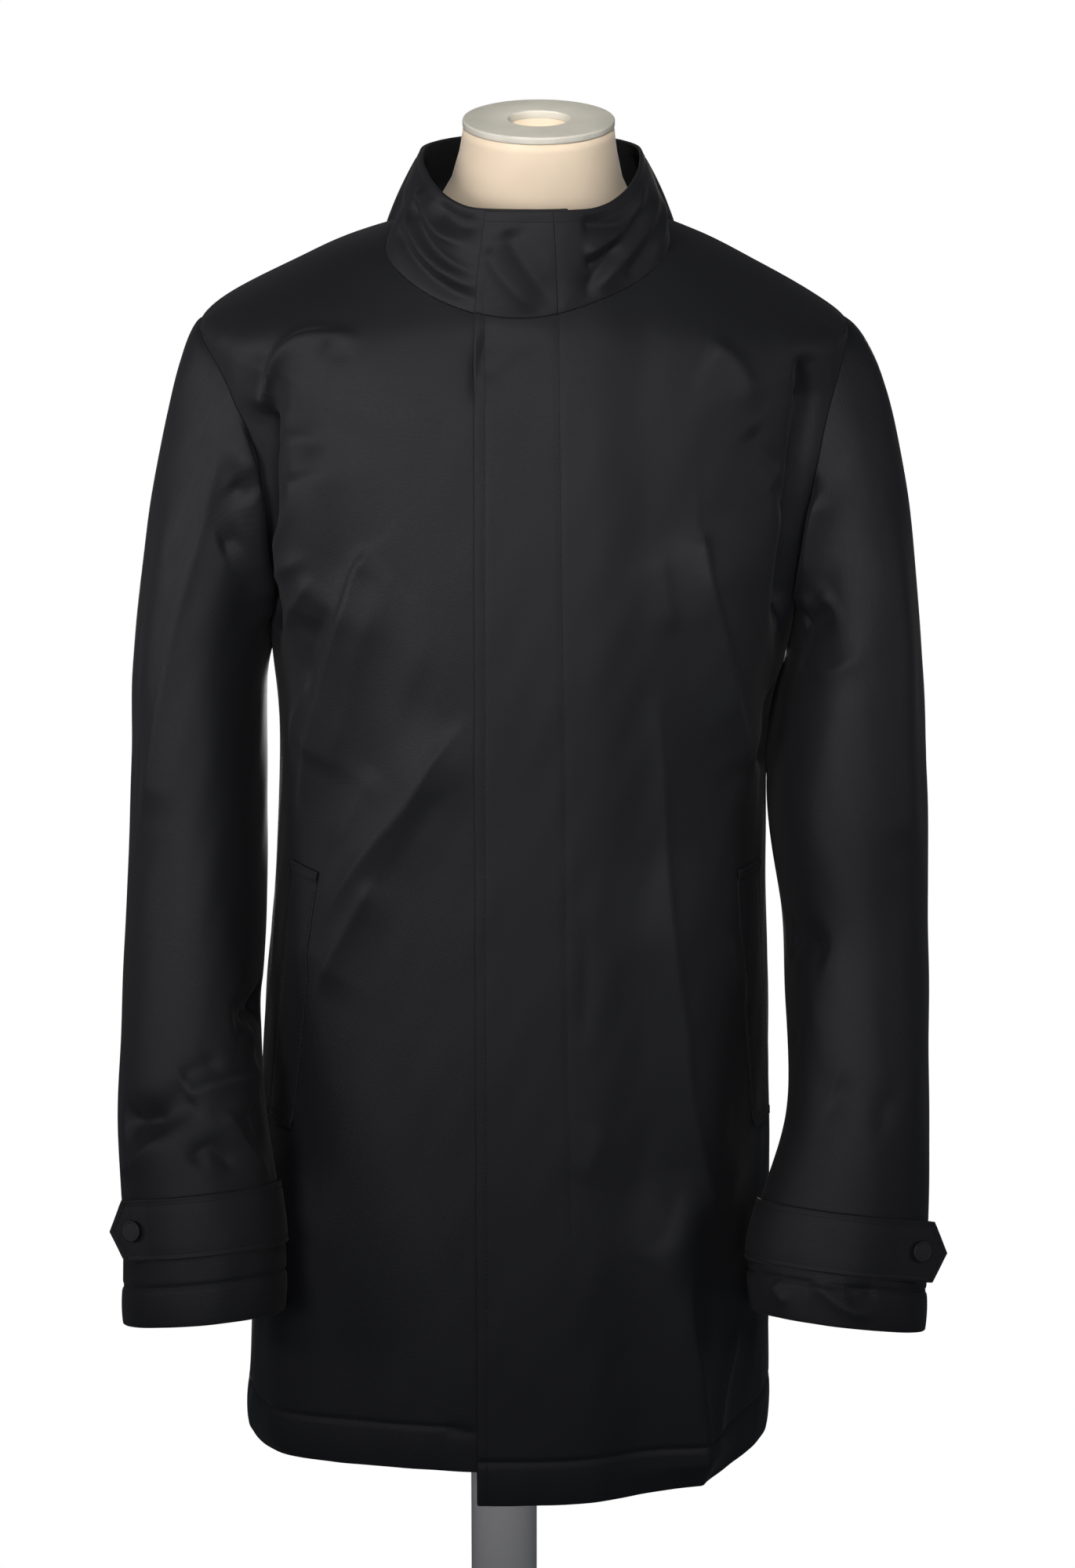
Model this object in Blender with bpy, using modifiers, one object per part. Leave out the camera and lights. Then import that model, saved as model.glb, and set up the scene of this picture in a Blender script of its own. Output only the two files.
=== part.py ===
"""A thigh-length raincoat with a stand collar, on a limbless dress form with its stand.

Metres, +Z up. The origin is on the floor, under the middle of the stand's foot. The front looks
along -Y and the wearer's left is +X. The coat's cloth is a thin wall. Its panels are patches of one
body surface, a stack of rounded sections with folds pressed into it, cut at the sewn seams. A place
on that surface is a turn round the body (0 centre front, 1 the left side, 2 centre back, 3 or -1
the right side) and a height.
"""
import math
from collections import namedtuple

import bpy
import numpy as np
from mathutils import Matrix, Vector

# Cloth and clearances
CLOTH = 0.0022
LAID_CLOTH = 0.0020
SEAM_GAP = 0.0003
LAID_GAP = 0.0008
OVERLAP_GAP = 0.0014
OVERLAP_LIFT = CLOTH + OVERLAP_GAP
SEWN_GAP = 1.5 * SEAM_GAP

# Heights of the coat's seams and edges
HEM_LEFT = 0.533
HEM_RIGHT = 0.557
HEM_SIDE = 0.541
UNDERARM = 1.115
SHOULDER_TIP = 1.345
NECK_POINT = 1.412
FRONT_NECK = 1.360
BACK_NECK = 1.397
NECK_ROUNDING = 0.15

# Places across the front, and how far the armholes bite into the front and back, in turns
LEFT_EDGE_X = -0.0165
RIGHT_EDGE_X = 0.050
FLAP_SEAM_X = 0.038
FRONT_BITE = 0.27
BACK_BITE = 0.25

# Where the left front comes down off the right one, past the right one's edge, and where the right
# front's hem band thins out, before the left one's edge
LIFT_FULL, LIFT_GONE = 0.010, 0.050
BAND_GONE, BAND_FULL = 0.005, 0.030

# The share of a front's width over which its hem keeps the height it has at the front edge
HEM_LEVEL_SHARE = 0.25

# A turned and stitched band along the hems
HEM_BAND = 0.032
BAND_PUFF = 0.0016
BAND_GROOVE = 0.0008
GROOVE_SHARE = 0.25

# The body's sections, from below the hem to above the neckline
Section = namedtuple("Section", "height centre_x half_width front_y side_y back_y squareness")
BODY = (
    Section(0.490, 0.0020, 0.1900, -0.148, -0.002, 0.126, 2.15),
    Section(0.540, 0.0030, 0.1890, -0.147, -0.002, 0.125, 2.15),
    Section(0.610, 0.0046, 0.1870, -0.146, -0.002, 0.123, 2.13),
    Section(0.720, 0.0070, 0.1835, -0.144, -0.002, 0.120, 2.15),
    Section(0.865, 0.0102, 0.1777, -0.141, -0.003, 0.114, 2.12),
    Section(0.980, 0.0132, 0.1712, -0.138, -0.003, 0.108, 2.18),
    Section(1.040, 0.0150, 0.1705, -0.137, -0.002, 0.110, 2.22),
    Section(1.120, 0.0190, 0.1790, -0.137, 0.000, 0.121, 2.30),
    Section(1.200, 0.0200, 0.1990, -0.133, 0.003, 0.129, 2.35),
    Section(1.280, 0.0190, 0.2150, -0.122, 0.006, 0.130, 2.40),
    Section(1.325, 0.0165, 0.2215, -0.111, 0.008, 0.125, 2.40),
    Section(1.345, 0.0145, 0.2190, -0.103, 0.008, 0.120, 2.25),
    Section(1.353, 0.0135, 0.2100, -0.099, 0.009, 0.118, 2.15),
    Section(1.369, 0.0140, 0.1840, -0.087, 0.010, 0.105, 2.05),
    Section(1.385, 0.0157, 0.1530, -0.075, 0.011, 0.093, 2.0),
    Section(1.401, 0.0180, 0.1190, -0.061, 0.012, 0.077, 2.0),
    Section(1.412, 0.0215, 0.0900, -0.050, 0.013, 0.062, 2.0),
    Section(1.430, 0.0230, 0.0680, -0.040, 0.013, 0.048, 2.0),
)

# The largest folds: height over the surface (troughs are below it), half width, and the line as
# places across and up, seen from the front
Fold = namedtuple("Fold", "rise spread line")
FRONT_FOLDS = (
    Fold(-0.013, 0.020, (
        (-0.125, 1.352), (-0.150, 1.317), (-0.158, 1.280), (-0.156, 1.200), (-0.150, 1.130),
    )),
    Fold(0.008, 0.022, ((-0.118, 1.290), (-0.126, 1.220), (-0.134, 1.150))),
    Fold(-0.013, 0.020, (
        (0.190, 1.338), (0.200, 1.292), (0.192, 1.262), (0.190, 1.200), (0.188, 1.140),
    )),
    Fold(0.009, 0.024, ((0.140, 1.235), (0.149, 1.168), (0.158, 1.108), (0.166, 1.045))),
    Fold(0.006, 0.024, ((-0.093, 1.198), (-0.107, 1.155), (-0.128, 1.050))),
    Fold(0.007, 0.030, ((-0.034, 1.100), (-0.070, 1.023), (-0.108, 0.959), (-0.131, 0.895))),
    Fold(0.008, 0.032, ((0.110, 1.005), (0.126, 0.877), (0.138, 0.782), (0.152, 0.720))),
    Fold(0.016, 0.027, ((0.118, 0.700), (0.130, 0.616), (0.138, 0.530))),
    Fold(-0.010, 0.022, ((0.191, 1.140), (0.187, 1.090), (0.182, 1.035))),
    Fold(0.009, 0.034, ((-0.148, 0.640), (-0.154, 0.530))),
)
BACK_FOLDS = (
    Fold(-0.010, 0.020, ((-0.150, 1.320), (-0.160, 1.270), (-0.156, 1.180), (-0.146, 1.120))),
    Fold(-0.010, 0.020, ((0.190, 1.320), (0.200, 1.270), (0.194, 1.180), (0.184, 1.120))),
    Fold(0.010, 0.035, ((0.075, 0.930), (0.088, 0.760), (0.096, 0.520))),
    Fold(0.010, 0.036, ((-0.058, 0.960), (-0.080, 0.780), (-0.090, 0.520))),
    Fold(-0.006, 0.034, ((0.005, 0.900), (0.002, 0.700), (0.000, 0.520))),
)

# Shares of a fold's length over which it grows and dies away, and how much of it its end keeps
FOLD_GROWS = 0.25
FOLD_DIES = 0.85
FOLD_KEPT = 0.35
FOLD_KEPT_FROM = 0.70

# No fold reaches the cloth that rests on the form's shoulders: the folds calm down between these heights
CALM_FROM, CALM_AT = 1.335, 1.360

# The sleeves' rings below the armholes: how far out each side lies, and how the ring tips. The
# forearm swings forward, so a ring's front is lifted (pitch) and its outer side is let down (roll).
Ring = namedtuple("Ring", "height outer inner centre_y half_depth pitch roll")
SLEEVE_LEFT = (
    Ring(0.6585, 0.2950, 0.1740, -0.114, 0.061, 17, 7),
    Ring(0.6945, 0.2960, 0.1720, -0.106, 0.061, 17, 7),
    Ring(0.7325, 0.2975, 0.1800, -0.094, 0.063, 17, 7),
    Ring(0.790, 0.2978, 0.1975, -0.078, 0.065, 15, 6),
    Ring(0.870, 0.2986, 0.1975, -0.048, 0.069, 12, 5),
    Ring(0.920, 0.2978, 0.1960, -0.034, 0.071, 9, 4),
    Ring(1.000, 0.2962, 0.1850, -0.028, 0.072, 6, 4),
    Ring(1.085, 0.2925, 0.1915, -0.016, 0.075, 2, 3),
)
SLEEVE_RIGHT = (
    Ring(0.6610, 0.2645, 0.1520, -0.114, 0.061, 16, 5),
    Ring(0.7080, 0.2645, 0.1520, -0.105, 0.061, 16, 6),
    Ring(0.7470, 0.2655, 0.1570, -0.093, 0.063, 16, 6),
    Ring(0.790, 0.2680, 0.1640, -0.080, 0.065, 15, 5),
    Ring(0.870, 0.2665, 0.1680, -0.047, 0.069, 12, 5),
    Ring(0.920, 0.2645, 0.1655, -0.028, 0.072, 9, 4),
    Ring(1.000, 0.2605, 0.1650, -0.008, 0.074, 6, 4),
    Ring(1.085, 0.2580, 0.1640, 0.004, 0.075, 2, 3),
)
SLEEVES = {1: SLEEVE_LEFT, -1: SLEEVE_RIGHT}
CUFF_ROW, TAB_LOW_ROW, TAB_HIGH_ROW = 0, 1, 2
CUFF_BAND = 0.027

# Directions in which the sleeve cap leaves the armhole (outward, forward, up) and how strongly
CAP_TOP = (0.86, 0.0, -0.51)
CAP_SIDE = (0.70, 0.30, -0.65)
CAP_UNDER = (0.95, 0.0, -0.30)
CAP_FULLNESS = {1: 0.55, -1: 0.28}
CAP_END_PULL = 0.9
CAP_END_STEP = 0.010

# Sleeve dents and ridges: height, half width, angle round the sleeve (0 outside, 90 front) and height
Dent = namedtuple("Dent", "side rise spread line")
SLEEVE_FOLDS = (
    Dent(-1, 0.005, 0.018, ((40, 1.240), (50, 1.130), (55, 1.000))),
    Dent(-1, -0.008, 0.014, ((90, 0.845), (125, 0.860))),
    Dent(-1, -0.008, 0.014, ((25, 0.795), (70, 0.800), (100, 0.815))),
    Dent(1, 0.005, 0.018, ((45, 1.230), (50, 1.120), (52, 0.980))),
    Dent(1, -0.008, 0.014, ((80, 0.885), (120, 0.900))),
    Dent(1, -0.007, 0.014, ((55, 0.800), (105, 0.815))),
    Dent(-1, -0.006, 0.016, ((250, 0.900), (290, 0.930))),
    Dent(1, -0.006, 0.016, ((250, 0.890), (290, 0.925))),
)

# The collar's top edge
COLLAR_TOP = Section(1.445, 0.0200, 0.0750, -0.084, 0.000, 0.078, 2.35)
COLLAR_FRONT_HEIGHT = 1.4315
COLLAR_SIDE_HEIGHT = 1.4595
COLLAR_BULGE = 0.002
COLLAR_TUCK = 0.0015
COLLAR_LIFT = 1.2 * OVERLAP_LIFT

# Turns over which the collar's top comes down off its hidden end, is tucked in there, and climbs
LIFTED_TO, LIFT_ENDS = 0.3, 1.1
TUCK_STARTS, TUCKED_FROM = 3.55, 3.85
CLIMB_STARTS, CLIMB_ENDS = 0.30, 1.0

# Pocket welts: turns of their two long edges at the top and the bottom, and those heights
Welt = namedtuple("Welt", "side high_inner high_outer high low_inner low_outer low")
WELTS = (
    Welt("left", 0.640, 0.790, 0.975, 0.720, 0.865, 0.782),
    Welt("right", -0.560, -0.715, 0.978, -0.635, -0.780, 0.788),
)

# Cuff tabs and their buttons: the tab runs from the inner seam over the front, then straight out
TAB_START = 190
TAB_LEAVES = 42
TAB_REACH = {1: 0.029, -1: 0.021}
TAB_POINT = 0.012
TAB_STATIONS = (0.35, 0.70, 1.0)
BUTTON_ALONG = {1: 0.014, -1: 0.008}
BUTTON_RADIUS = 0.0075
BUTTON_HEIGHT = 0.0042
BUTTON_EDGE = 0.0012
BUTTON_CHAMFER = 0.0005
BUTTON_DOME_AT = 0.00525
BUTTON_DOME_HEIGHT = 0.0038

# The form: its own lower sections; its shoulders follow the coat's, just below the cloth
FORM = (
    Section(0.640, 0.0055, 0.138, -0.098, 0.000, 0.096, 2.2),
    Section(0.652, 0.0057, 0.148, -0.106, 0.000, 0.102, 2.2),
    Section(0.700, 0.0066, 0.155, -0.112, 0.000, 0.105, 2.15),
    Section(0.800, 0.0090, 0.156, -0.112, 0.000, 0.100, 2.1),
    Section(0.920, 0.0117, 0.147, -0.106, 0.000, 0.088, 2.1),
    Section(1.000, 0.0140, 0.143, -0.104, 0.000, 0.085, 2.1),
    Section(1.110, 0.0185, 0.155, -0.110, 0.001, 0.098, 2.15),
    Section(1.200, 0.0200, 0.176, -0.107, 0.003, 0.106, 2.2),
    Section(1.280, 0.0185, 0.197, -0.092, 0.006, 0.106, 2.2),
    Section(1.322, 0.0160, 0.200, -0.080, 0.008, 0.098, 2.1),
)
SHOULDER_REST = (1.350, 1.360, 1.374, 1.389, 1.403)
REST_DROP = 0.0036
REST_TIP_INSET = 0.006
REST_TIP_SPAN = 0.016
REST_DEPTH = 0.86
NECK = (
    Section(1.414, 0.0222, 0.0790, -0.050, 0.013, 0.078, 2.0),
    Section(1.424, 0.0232, 0.0665, -0.049, 0.011, 0.071, 2.0),
    Section(1.440, 0.0242, 0.0580, -0.049, 0.008, 0.064, 2.0),
    Section(1.460, 0.0250, 0.0530, -0.0505, 0.003, 0.056, 2.0),
    Section(1.476, 0.0253, 0.0510, -0.0510, 0.000, 0.051, 2.0),
)
NECK_TILT = 6.8
NECK_TILT_FROM = 1.424
CAP_RADIUS = 0.0515
CAP_HOLE = 0.0205
CAP_THICKNESS = 0.0055
CAP_ROUNDING = 0.0015
SOCKET_DEPTH = 0.045

# The stand
COLUMN_RADIUS = 0.024
BASE_RADIUS = 0.190
BASE_EDGE = 0.010
BASE_RISE = 0.020
BASE_HUB = 0.036
BASE_ROUNDING = 0.003

# How finely the solids are faceted
FRONT_COLUMNS = 12
BACK_COLUMNS = 20
LOWER_ROWS = 11
ARMHOLE_ROWS = 10
SHOULDER_ROWS = 6
SHOULDER_BUNCHING = 1.5
ABOVE_BAND = 1.5
SLEEVE_ROWS = 7
SLEEVE_ABOVE_TAB = 0.022
CAP_ROWS = 7
COLLAR_ROWS = 4
WELT_COLUMNS, WELT_ROWS = 3, 8
FORM_COLUMNS = 30
TURNED_STEPS = 40
BUTTON_STEPS = 20
SHARP_ANGLE = 40
MERGE_DISTANCE = 0.00005

# Colours (linear RGB), roughness and metallic of the materials
Finish = namedtuple("Finish", "colour roughness metallic")
FINISHES = {
    "coat_cloth": Finish((0.016, 0.017, 0.021), 0.55, 0.0),
    "button": Finish((0.016, 0.017, 0.019), 0.45, 0.0),
    "form_jersey": Finish((0.760, 0.620, 0.450), 0.85, 0.0),
    "cap": Finish((0.600, 0.570, 0.480), 0.70, 0.0),
    "stand": Finish((0.780, 0.770, 0.750), 0.35, 0.0),
}


def unit(vectors):
    """The vectors at length one."""
    return vectors / np.linalg.norm(vectors, axis=-1, keepdims=True)


def ease(start, end, value):
    """A soft step from 0 at start to 1 at end."""
    share = np.clip((value - start) / (end - start), 0.0, 1.0)
    return share * share * (3.0 - 2.0 * share)


def hermite(first, last, leave, arrive, share):
    """A cubic from first to last with the given speeds at its ends."""
    square, cube = share ** 2, share ** 3
    return (
        (2 * cube - 3 * square + 1) * first + (cube - 2 * square + share) * leave
        + (3 * square - 2 * cube) * last + (cube - square) * arrive
    )


def curve_speeds(keys, values):
    """Slopes at the rows of a table, for the curves through its columns that bend evenly."""
    step = np.diff(keys)[:, None]
    slope = np.diff(values, axis=0) / step
    system = np.zeros((len(keys), len(keys)))
    known = np.zeros_like(values)
    for row in range(1, len(keys) - 1):
        before, after = step[row - 1, 0], step[row, 0]
        system[row, row - 1:row + 2] = after, 2 * (before + after), before
        known[row] = 3 * (after * slope[row - 1] + before * slope[row])
    system[0, :2] = 2, 1
    system[-1, -2:] = 1, 2
    known[0], known[-1] = 3 * slope[0], 3 * slope[-1]
    return np.linalg.solve(system, known)


def columns_at(table, height):
    """Every column of a table at the given heights, on smooth curves through its rows."""
    rows = np.array(table)
    keys, values = rows[:, 0], rows[:, 1:]
    speeds = curve_speeds(keys, values)
    height = np.clip(height, keys[0], keys[-1])
    span = np.clip(np.searchsorted(keys, height) - 1, 0, len(keys) - 2)
    step = (keys[span + 1] - keys[span])[..., None]
    share = (height - keys[span])[..., None] / step
    result = hermite(values[span], values[span + 1], speeds[span] * step, speeds[span + 1] * step, share)
    return [result[..., column] for column in range(values.shape[1])]


def ring_points(sections, turn, height):
    """Points of rounded sections at the given turns and heights."""
    centre_x, half_width, front_y, side_y, back_y, squareness = sections
    across = np.sin(turn * math.pi / 2)
    ahead = np.cos(turn * math.pi / 2)
    reach = (np.abs(across) ** squareness + np.abs(ahead) ** squareness) ** (-1 / squareness)
    depth = np.where(ahead > 0, side_y - front_y, back_y - side_y)
    x = centre_x + half_width * reach * across
    y = side_y - depth * reach * ahead
    return np.stack([x, y, height + 0.0 * x], axis=-1)


def plain_body(turn, height):
    """The body surface without its folds."""
    return ring_points(columns_at(BODY, height), turn, height)


def outward(surface, first, second, steps=(1e-4, 1e-4)):
    """Unit normals of a surface of two variables, by its slopes."""
    along_first = surface(first + steps[0], second) - surface(first - steps[0], second)
    along_second = surface(first, second + steps[1]) - surface(first, second - steps[1])
    return unit(np.cross(along_first, along_second))


def front_turn(x, height):
    """The turn at which the front lies at x."""
    low = np.full(np.shape(x), -1.0)
    high = np.full(np.shape(x), 1.0)
    for _ in range(40):
        middle = (low + high) / 2
        short = plain_body(middle, height)[..., 0] < x
        low = np.where(short, middle, low)
        high = np.where(short, high, middle)
    return (low + high) / 2


def nearest_on_line(points, line):
    """Distance of the points from a line of points, and the share of its length where it is nearest."""
    best = np.full(points.shape[:-1], np.inf)
    share = np.zeros(points.shape[:-1])
    lengths = np.linalg.norm(np.diff(line, axis=0), axis=1)
    before = np.concatenate([[0.0], np.cumsum(lengths)])
    for start, end, length, run in zip(line[:-1], line[1:], lengths, before):
        step = np.clip(((points - start) @ (end - start)) / length ** 2, 0.0, 1.0)
        away = np.linalg.norm(points - start - step[..., None] * (end - start), axis=-1)
        nearer = away < best
        best = np.where(nearer, away, best)
        share = np.where(nearer, (run + step * length) / before[-1], share)
    return best, share


def fold_rise(points, folds):
    """How far the folds lift the points; each fold fades out towards its ends."""
    rise = np.zeros(points.shape[:-1])
    for height, spread, line in folds:
        away, share = nearest_on_line(points, line)
        fade = ease(0.0, FOLD_GROWS, share) * ease(1.0, FOLD_DIES, share)
        fade = fade + FOLD_KEPT * ease(FOLD_KEPT_FROM, 1.0, share)
        rise += height * np.exp(-(away / spread) ** 2) * np.minimum(fade, 1.0)
    return rise


def body_fold_lines():
    """The folds of the front and the back as lines on the body surface."""
    lines = []
    for folds, is_front in ((FRONT_FOLDS, True), (BACK_FOLDS, False)):
        for fold in folds:
            places = np.array(fold.line)
            turn = front_turn(places[:, 0], places[:, 1])
            turn = turn if is_front else 2.0 - turn
            lines.append((fold.rise, fold.spread, plain_body(turn, places[:, 1])))
    return lines


BODY_FOLD_LINES = body_fold_lines()


def body(turn, height):
    """The body surface with its folds; none reach the cloth that rests on the form's shoulders."""
    points = plain_body(turn, height)
    calm = 1.0 - ease(CALM_FROM, CALM_AT, height)
    rise = fold_rise(points, BODY_FOLD_LINES) * calm
    return points + outward(plain_body, turn, height) * rise[..., None]


def rounded(turn):
    """The size of a turn, rounded off about zero and still 1 at the side."""
    whole = math.hypot(1.0, NECK_ROUNDING) - NECK_ROUNDING
    return (np.hypot(turn, NECK_ROUNDING) - NECK_ROUNDING) / whole


def armhole(angle):
    """Turn and height round the left armhole; angle 0 is the shoulder, a quarter turn the front."""
    height = UNDERARM + (SHOULDER_TIP - UNDERARM) * (1 + np.cos(angle)) / 2
    bite = np.where(np.sin(angle) > 0, FRONT_BITE, BACK_BITE)
    return 1 - bite * np.sin(angle), height


def band_relief(above, band):
    """The puffed band along an edge and the stitched groove at its top."""
    puff = BAND_PUFF * np.sin(np.clip(above / band, 0.0, 1.0) * math.pi)
    return puff - BAND_GROOVE * np.exp(-((above - band) / (GROOVE_SHARE * band)) ** 2)


def edge_levels(hem):
    """Heights of a panel's rows along its outer edge, with the turn's bite there."""
    band = hem + np.array([0.0, 0.5, 1.0]) * HEM_BAND
    lower = np.linspace(hem + ABOVE_BAND * HEM_BAND, UNDERARM, LOWER_ROWS)[:-1]
    angles = np.linspace(math.pi, 0.0, ARMHOLE_ROWS + 1)
    arm = armhole(angles)[1]
    climb = np.linspace(0.0, 1.0, SHOULDER_ROWS + 1)[1:] ** SHOULDER_BUNCHING
    shoulder = SHOULDER_TIP + (NECK_POINT - SHOULDER_TIP) * climb
    bites = np.concatenate([np.zeros(len(band) + len(lower)), np.sin(angles), np.zeros(len(shoulder))])
    return np.concatenate([band, lower, arm, shoulder]), np.abs(bites)


def seam_inset(height):
    """Half the seam gap at the side and shoulder seams, in turns."""
    near = plain_body(1.0, height + 1e-9) - plain_body(1.0 - 1e-3, height + 1e-9)
    return SEAM_GAP / 2 / (np.linalg.norm(near, axis=-1) / 1e-3)


def panel_walls(turn, height, relief, lift):
    """Outer and inner points of a body panel; the relief is on its outer side alone."""
    normal = outward(body, turn, height)
    middle = body(turn, height) + normal * lift[..., None]
    return middle + normal * relief[..., None], middle - normal * CLOTH


def front_panel(side):
    """Outer and inner points of a front; rows go up, columns from the front edge to the side."""
    edge_x = LEFT_EDGE_X if side > 0 else RIGHT_EDGE_X
    hem_edge = HEM_LEFT if side > 0 else HEM_RIGHT
    levels, bites = edge_levels(HEM_SIDE)
    share = np.linspace(0.0, 1.0, FRONT_COLUMNS + 1)[None, :]
    up = ((levels - HEM_SIDE) / (NECK_POINT - HEM_SIDE))[:, None]
    hem = hem_edge + (HEM_SIDE - hem_edge) * ease(HEM_LEVEL_SHARE, 1.0, share)
    neck_start = side * front_turn(edge_x, FRONT_NECK)
    neck_turn = neck_start + (1 - neck_start) * share
    neck_drop = (NECK_POINT - FRONT_NECK) * (1 - rounded(neck_turn)) ** 2
    height = levels[:, None] + (hem - HEM_SIDE) * (1 - up) ** 2 - neck_drop * up ** 3
    start = side * front_turn(edge_x + 0.0 * up, height[:, :1])
    end = (1 - seam_inset(levels) - FRONT_BITE * bites)[:, None]
    turn = side * (start + (end - start) * share)
    x = plain_body(turn, height)[..., 0]
    relief = band_relief(height - hem, HEM_BAND)
    lift = np.zeros_like(turn)
    if side > 0:
        lift = OVERLAP_LIFT * ease(RIGHT_EDGE_X + LIFT_GONE, RIGHT_EDGE_X + LIFT_FULL, x)
    else:
        relief = relief * ease(LEFT_EDGE_X - BAND_GONE, LEFT_EDGE_X - BAND_FULL, x)
    return panel_walls(turn, height, relief, lift)


def back_panel():
    """Outer and inner points of the back; columns go from the left side to the right."""
    levels, bites = edge_levels(HEM_SIDE)
    share = np.linspace(-1.0, 1.0, BACK_COLUMNS + 1)[None, :]
    up = ((levels - HEM_SIDE) / (NECK_POINT - HEM_SIDE))[:, None]
    neck_drop = (NECK_POINT - BACK_NECK) * (1 - share ** 2)
    height = levels[:, None] - neck_drop * up ** 3
    start = (1 + seam_inset(levels) + BACK_BITE * bites)[:, None]
    turn = 2 + share * (2 - start)
    return panel_walls(turn, height, band_relief(height - HEM_SIDE, HEM_BAND), np.zeros_like(turn))


def sleeve_ring(side, angle, height):
    """Points of the sleeve's lower rings."""
    outer, inner, centre_y, half_depth, pitch, roll = columns_at(SLEEVES[side], height)
    half = (outer - inner) / 2
    x = side * ((outer + inner) / 2 + half * np.cos(angle))
    y = centre_y - half_depth * np.sin(angle)
    rise = np.tan(np.radians(pitch)) * half_depth * np.sin(angle)
    fall = np.tan(np.radians(roll)) * half * np.cos(angle)
    return np.stack([x, y, height + rise - fall], axis=-1)


def sleeve_cap(side, angle, share):
    """The sleeve from the armhole (share 0) to its first whole ring (share 1)."""
    turn, height = armhole(angle)
    start = body(side * turn, height)
    top_height = SLEEVES[side][-1].height
    end = sleeve_ring(side, angle, top_height + 0.0 * angle)
    length = np.linalg.norm(end - start, axis=-1, keepdims=True)
    upper = np.maximum(np.cos(angle), 0.0)[..., None] ** 2
    under = np.maximum(-np.cos(angle), 0.0)[..., None] ** 2
    middle = np.sin(angle)[..., None] ** 2
    forward = np.sign(np.sin(angle))[..., None]
    way_side = np.array(CAP_SIDE) * np.concatenate([forward ** 0, -forward, forward ** 0], axis=-1)
    way = upper * np.array(CAP_TOP) + under * np.array(CAP_UNDER) + middle * way_side
    way = unit(way * np.array([side, 1.0, 1.0]))
    start = start + way * SEWN_GAP
    below = sleeve_ring(side, angle, top_height - CAP_END_STEP + 0.0 * angle)
    arrive = unit(below - end) * length * CAP_END_PULL
    return hermite(start, end, way * length * CAP_FULLNESS[side], arrive, share[..., None])


def plain_sleeve(side, angle, level):
    """The whole sleeve: level 0 to 1 is the cap, 1 to 2 runs from the first ring to the cuff."""
    rings = SLEEVES[side]
    height = rings[-1].height + (rings[CUFF_ROW].height - rings[-1].height) * (level - 1)
    lower = sleeve_ring(side, angle, height)
    upper = sleeve_cap(side, angle, np.clip(level, 0.0, 1.0))
    return np.where((level > 1)[..., None], lower, upper)


def sleeve_level(side, height):
    """The level of a height below the cap, or in the cap by its share of the way up to the shoulder."""
    rings = SLEEVES[side]
    lower = 1 + (rings[-1].height - height) / (rings[-1].height - rings[CUFF_ROW].height)
    upper = 1 - (height - rings[-1].height) / (SHOULDER_TIP - rings[-1].height)
    return np.where(height < rings[-1].height, lower, upper)


def sleeve_walls(side, angle, level):
    """Outer and inner points of a sleeve, with its folds and the band at its cuff."""
    def surface(first, second):
        return plain_sleeve(side, first, second)

    normal = outward(surface, angle, level) * side
    points = surface(angle, level)
    lines = []
    for fold in SLEEVE_FOLDS:
        places = np.array(fold.line)
        if fold.side == side:
            line = surface(np.radians(places[:, 0]), sleeve_level(side, places[:, 1]))
            lines.append((fold.rise, fold.spread, line))
    rings = SLEEVES[side]
    length = rings[-1].height - rings[CUFF_ROW].height
    above = (2 - level) * length
    relief = fold_rise(points, lines) + band_relief(above, CUFF_BAND)
    outer = points + normal * relief[..., None]
    return outer, outer - normal * CLOTH


def sleeve_levels(side):
    """Levels of a sleeve's rows, with rows at the cuff's band and at both edges of its tab."""
    rings = SLEEVES[side]
    cuff = rings[CUFF_ROW].height
    tab_low, tab_high = rings[TAB_LOW_ROW].height, rings[TAB_HIGH_ROW].height
    upper = np.linspace(rings[-1].height, tab_high + SLEEVE_ABOVE_TAB, SLEEVE_ROWS + 1)[1:]
    heights = np.concatenate([upper, [tab_high, tab_low, cuff + CUFF_BAND, cuff + CUFF_BAND / 2, cuff]])
    return np.concatenate([np.linspace(0.0, 1.0, CAP_ROWS + 1), sleeve_level(side, heights)])


def collar_walls(base, turn):
    """Outer and inner points of the whole collar, from its sewn edge up; its hidden end is tucked in."""
    lift = COLLAR_LIFT * ease(LIFT_ENDS, LIFTED_TO, turn)
    tuck = COLLAR_TUCK * ease(TUCK_STARTS, TUCKED_FROM, turn)
    sections = [np.full(turn.shape, value) for value in COLLAR_TOP[1:]]
    round_to_back = 2 - np.abs(np.abs(turn) % 4 - 2)
    climb = ease(CLIMB_STARTS, CLIMB_ENDS, round_to_back)
    top_height = COLLAR_FRONT_HEIGHT + (COLLAR_SIDE_HEIGHT - COLLAR_FRONT_HEIGHT) * climb
    top = ring_points(sections, turn, top_height)
    away = unit((top - np.array([COLLAR_TOP.centre_x, 0.0, 0.0])) * np.array([1.0, 1.0, 0.0]))
    top = top + away * (lift - tuck)[:, None]
    base = base + np.array([0.0, 0.0, SEWN_GAP]) - away * tuck[:, None]
    share = np.linspace(0.0, 1.0, COLLAR_ROWS + 1)[:, None, None]
    outer = base + (top - base) * share + away * COLLAR_BULGE * np.sin(share * math.pi)
    across = np.gradient(outer, axis=1)
    upward = np.gradient(outer, axis=0)
    normal = unit(np.cross(across, upward))
    flat = unit(normal * np.array([1.0, 1.0, 0.0]))
    normal = np.where(share == 0, flat, normal)
    return outer, outer - normal * CLOTH


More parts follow.
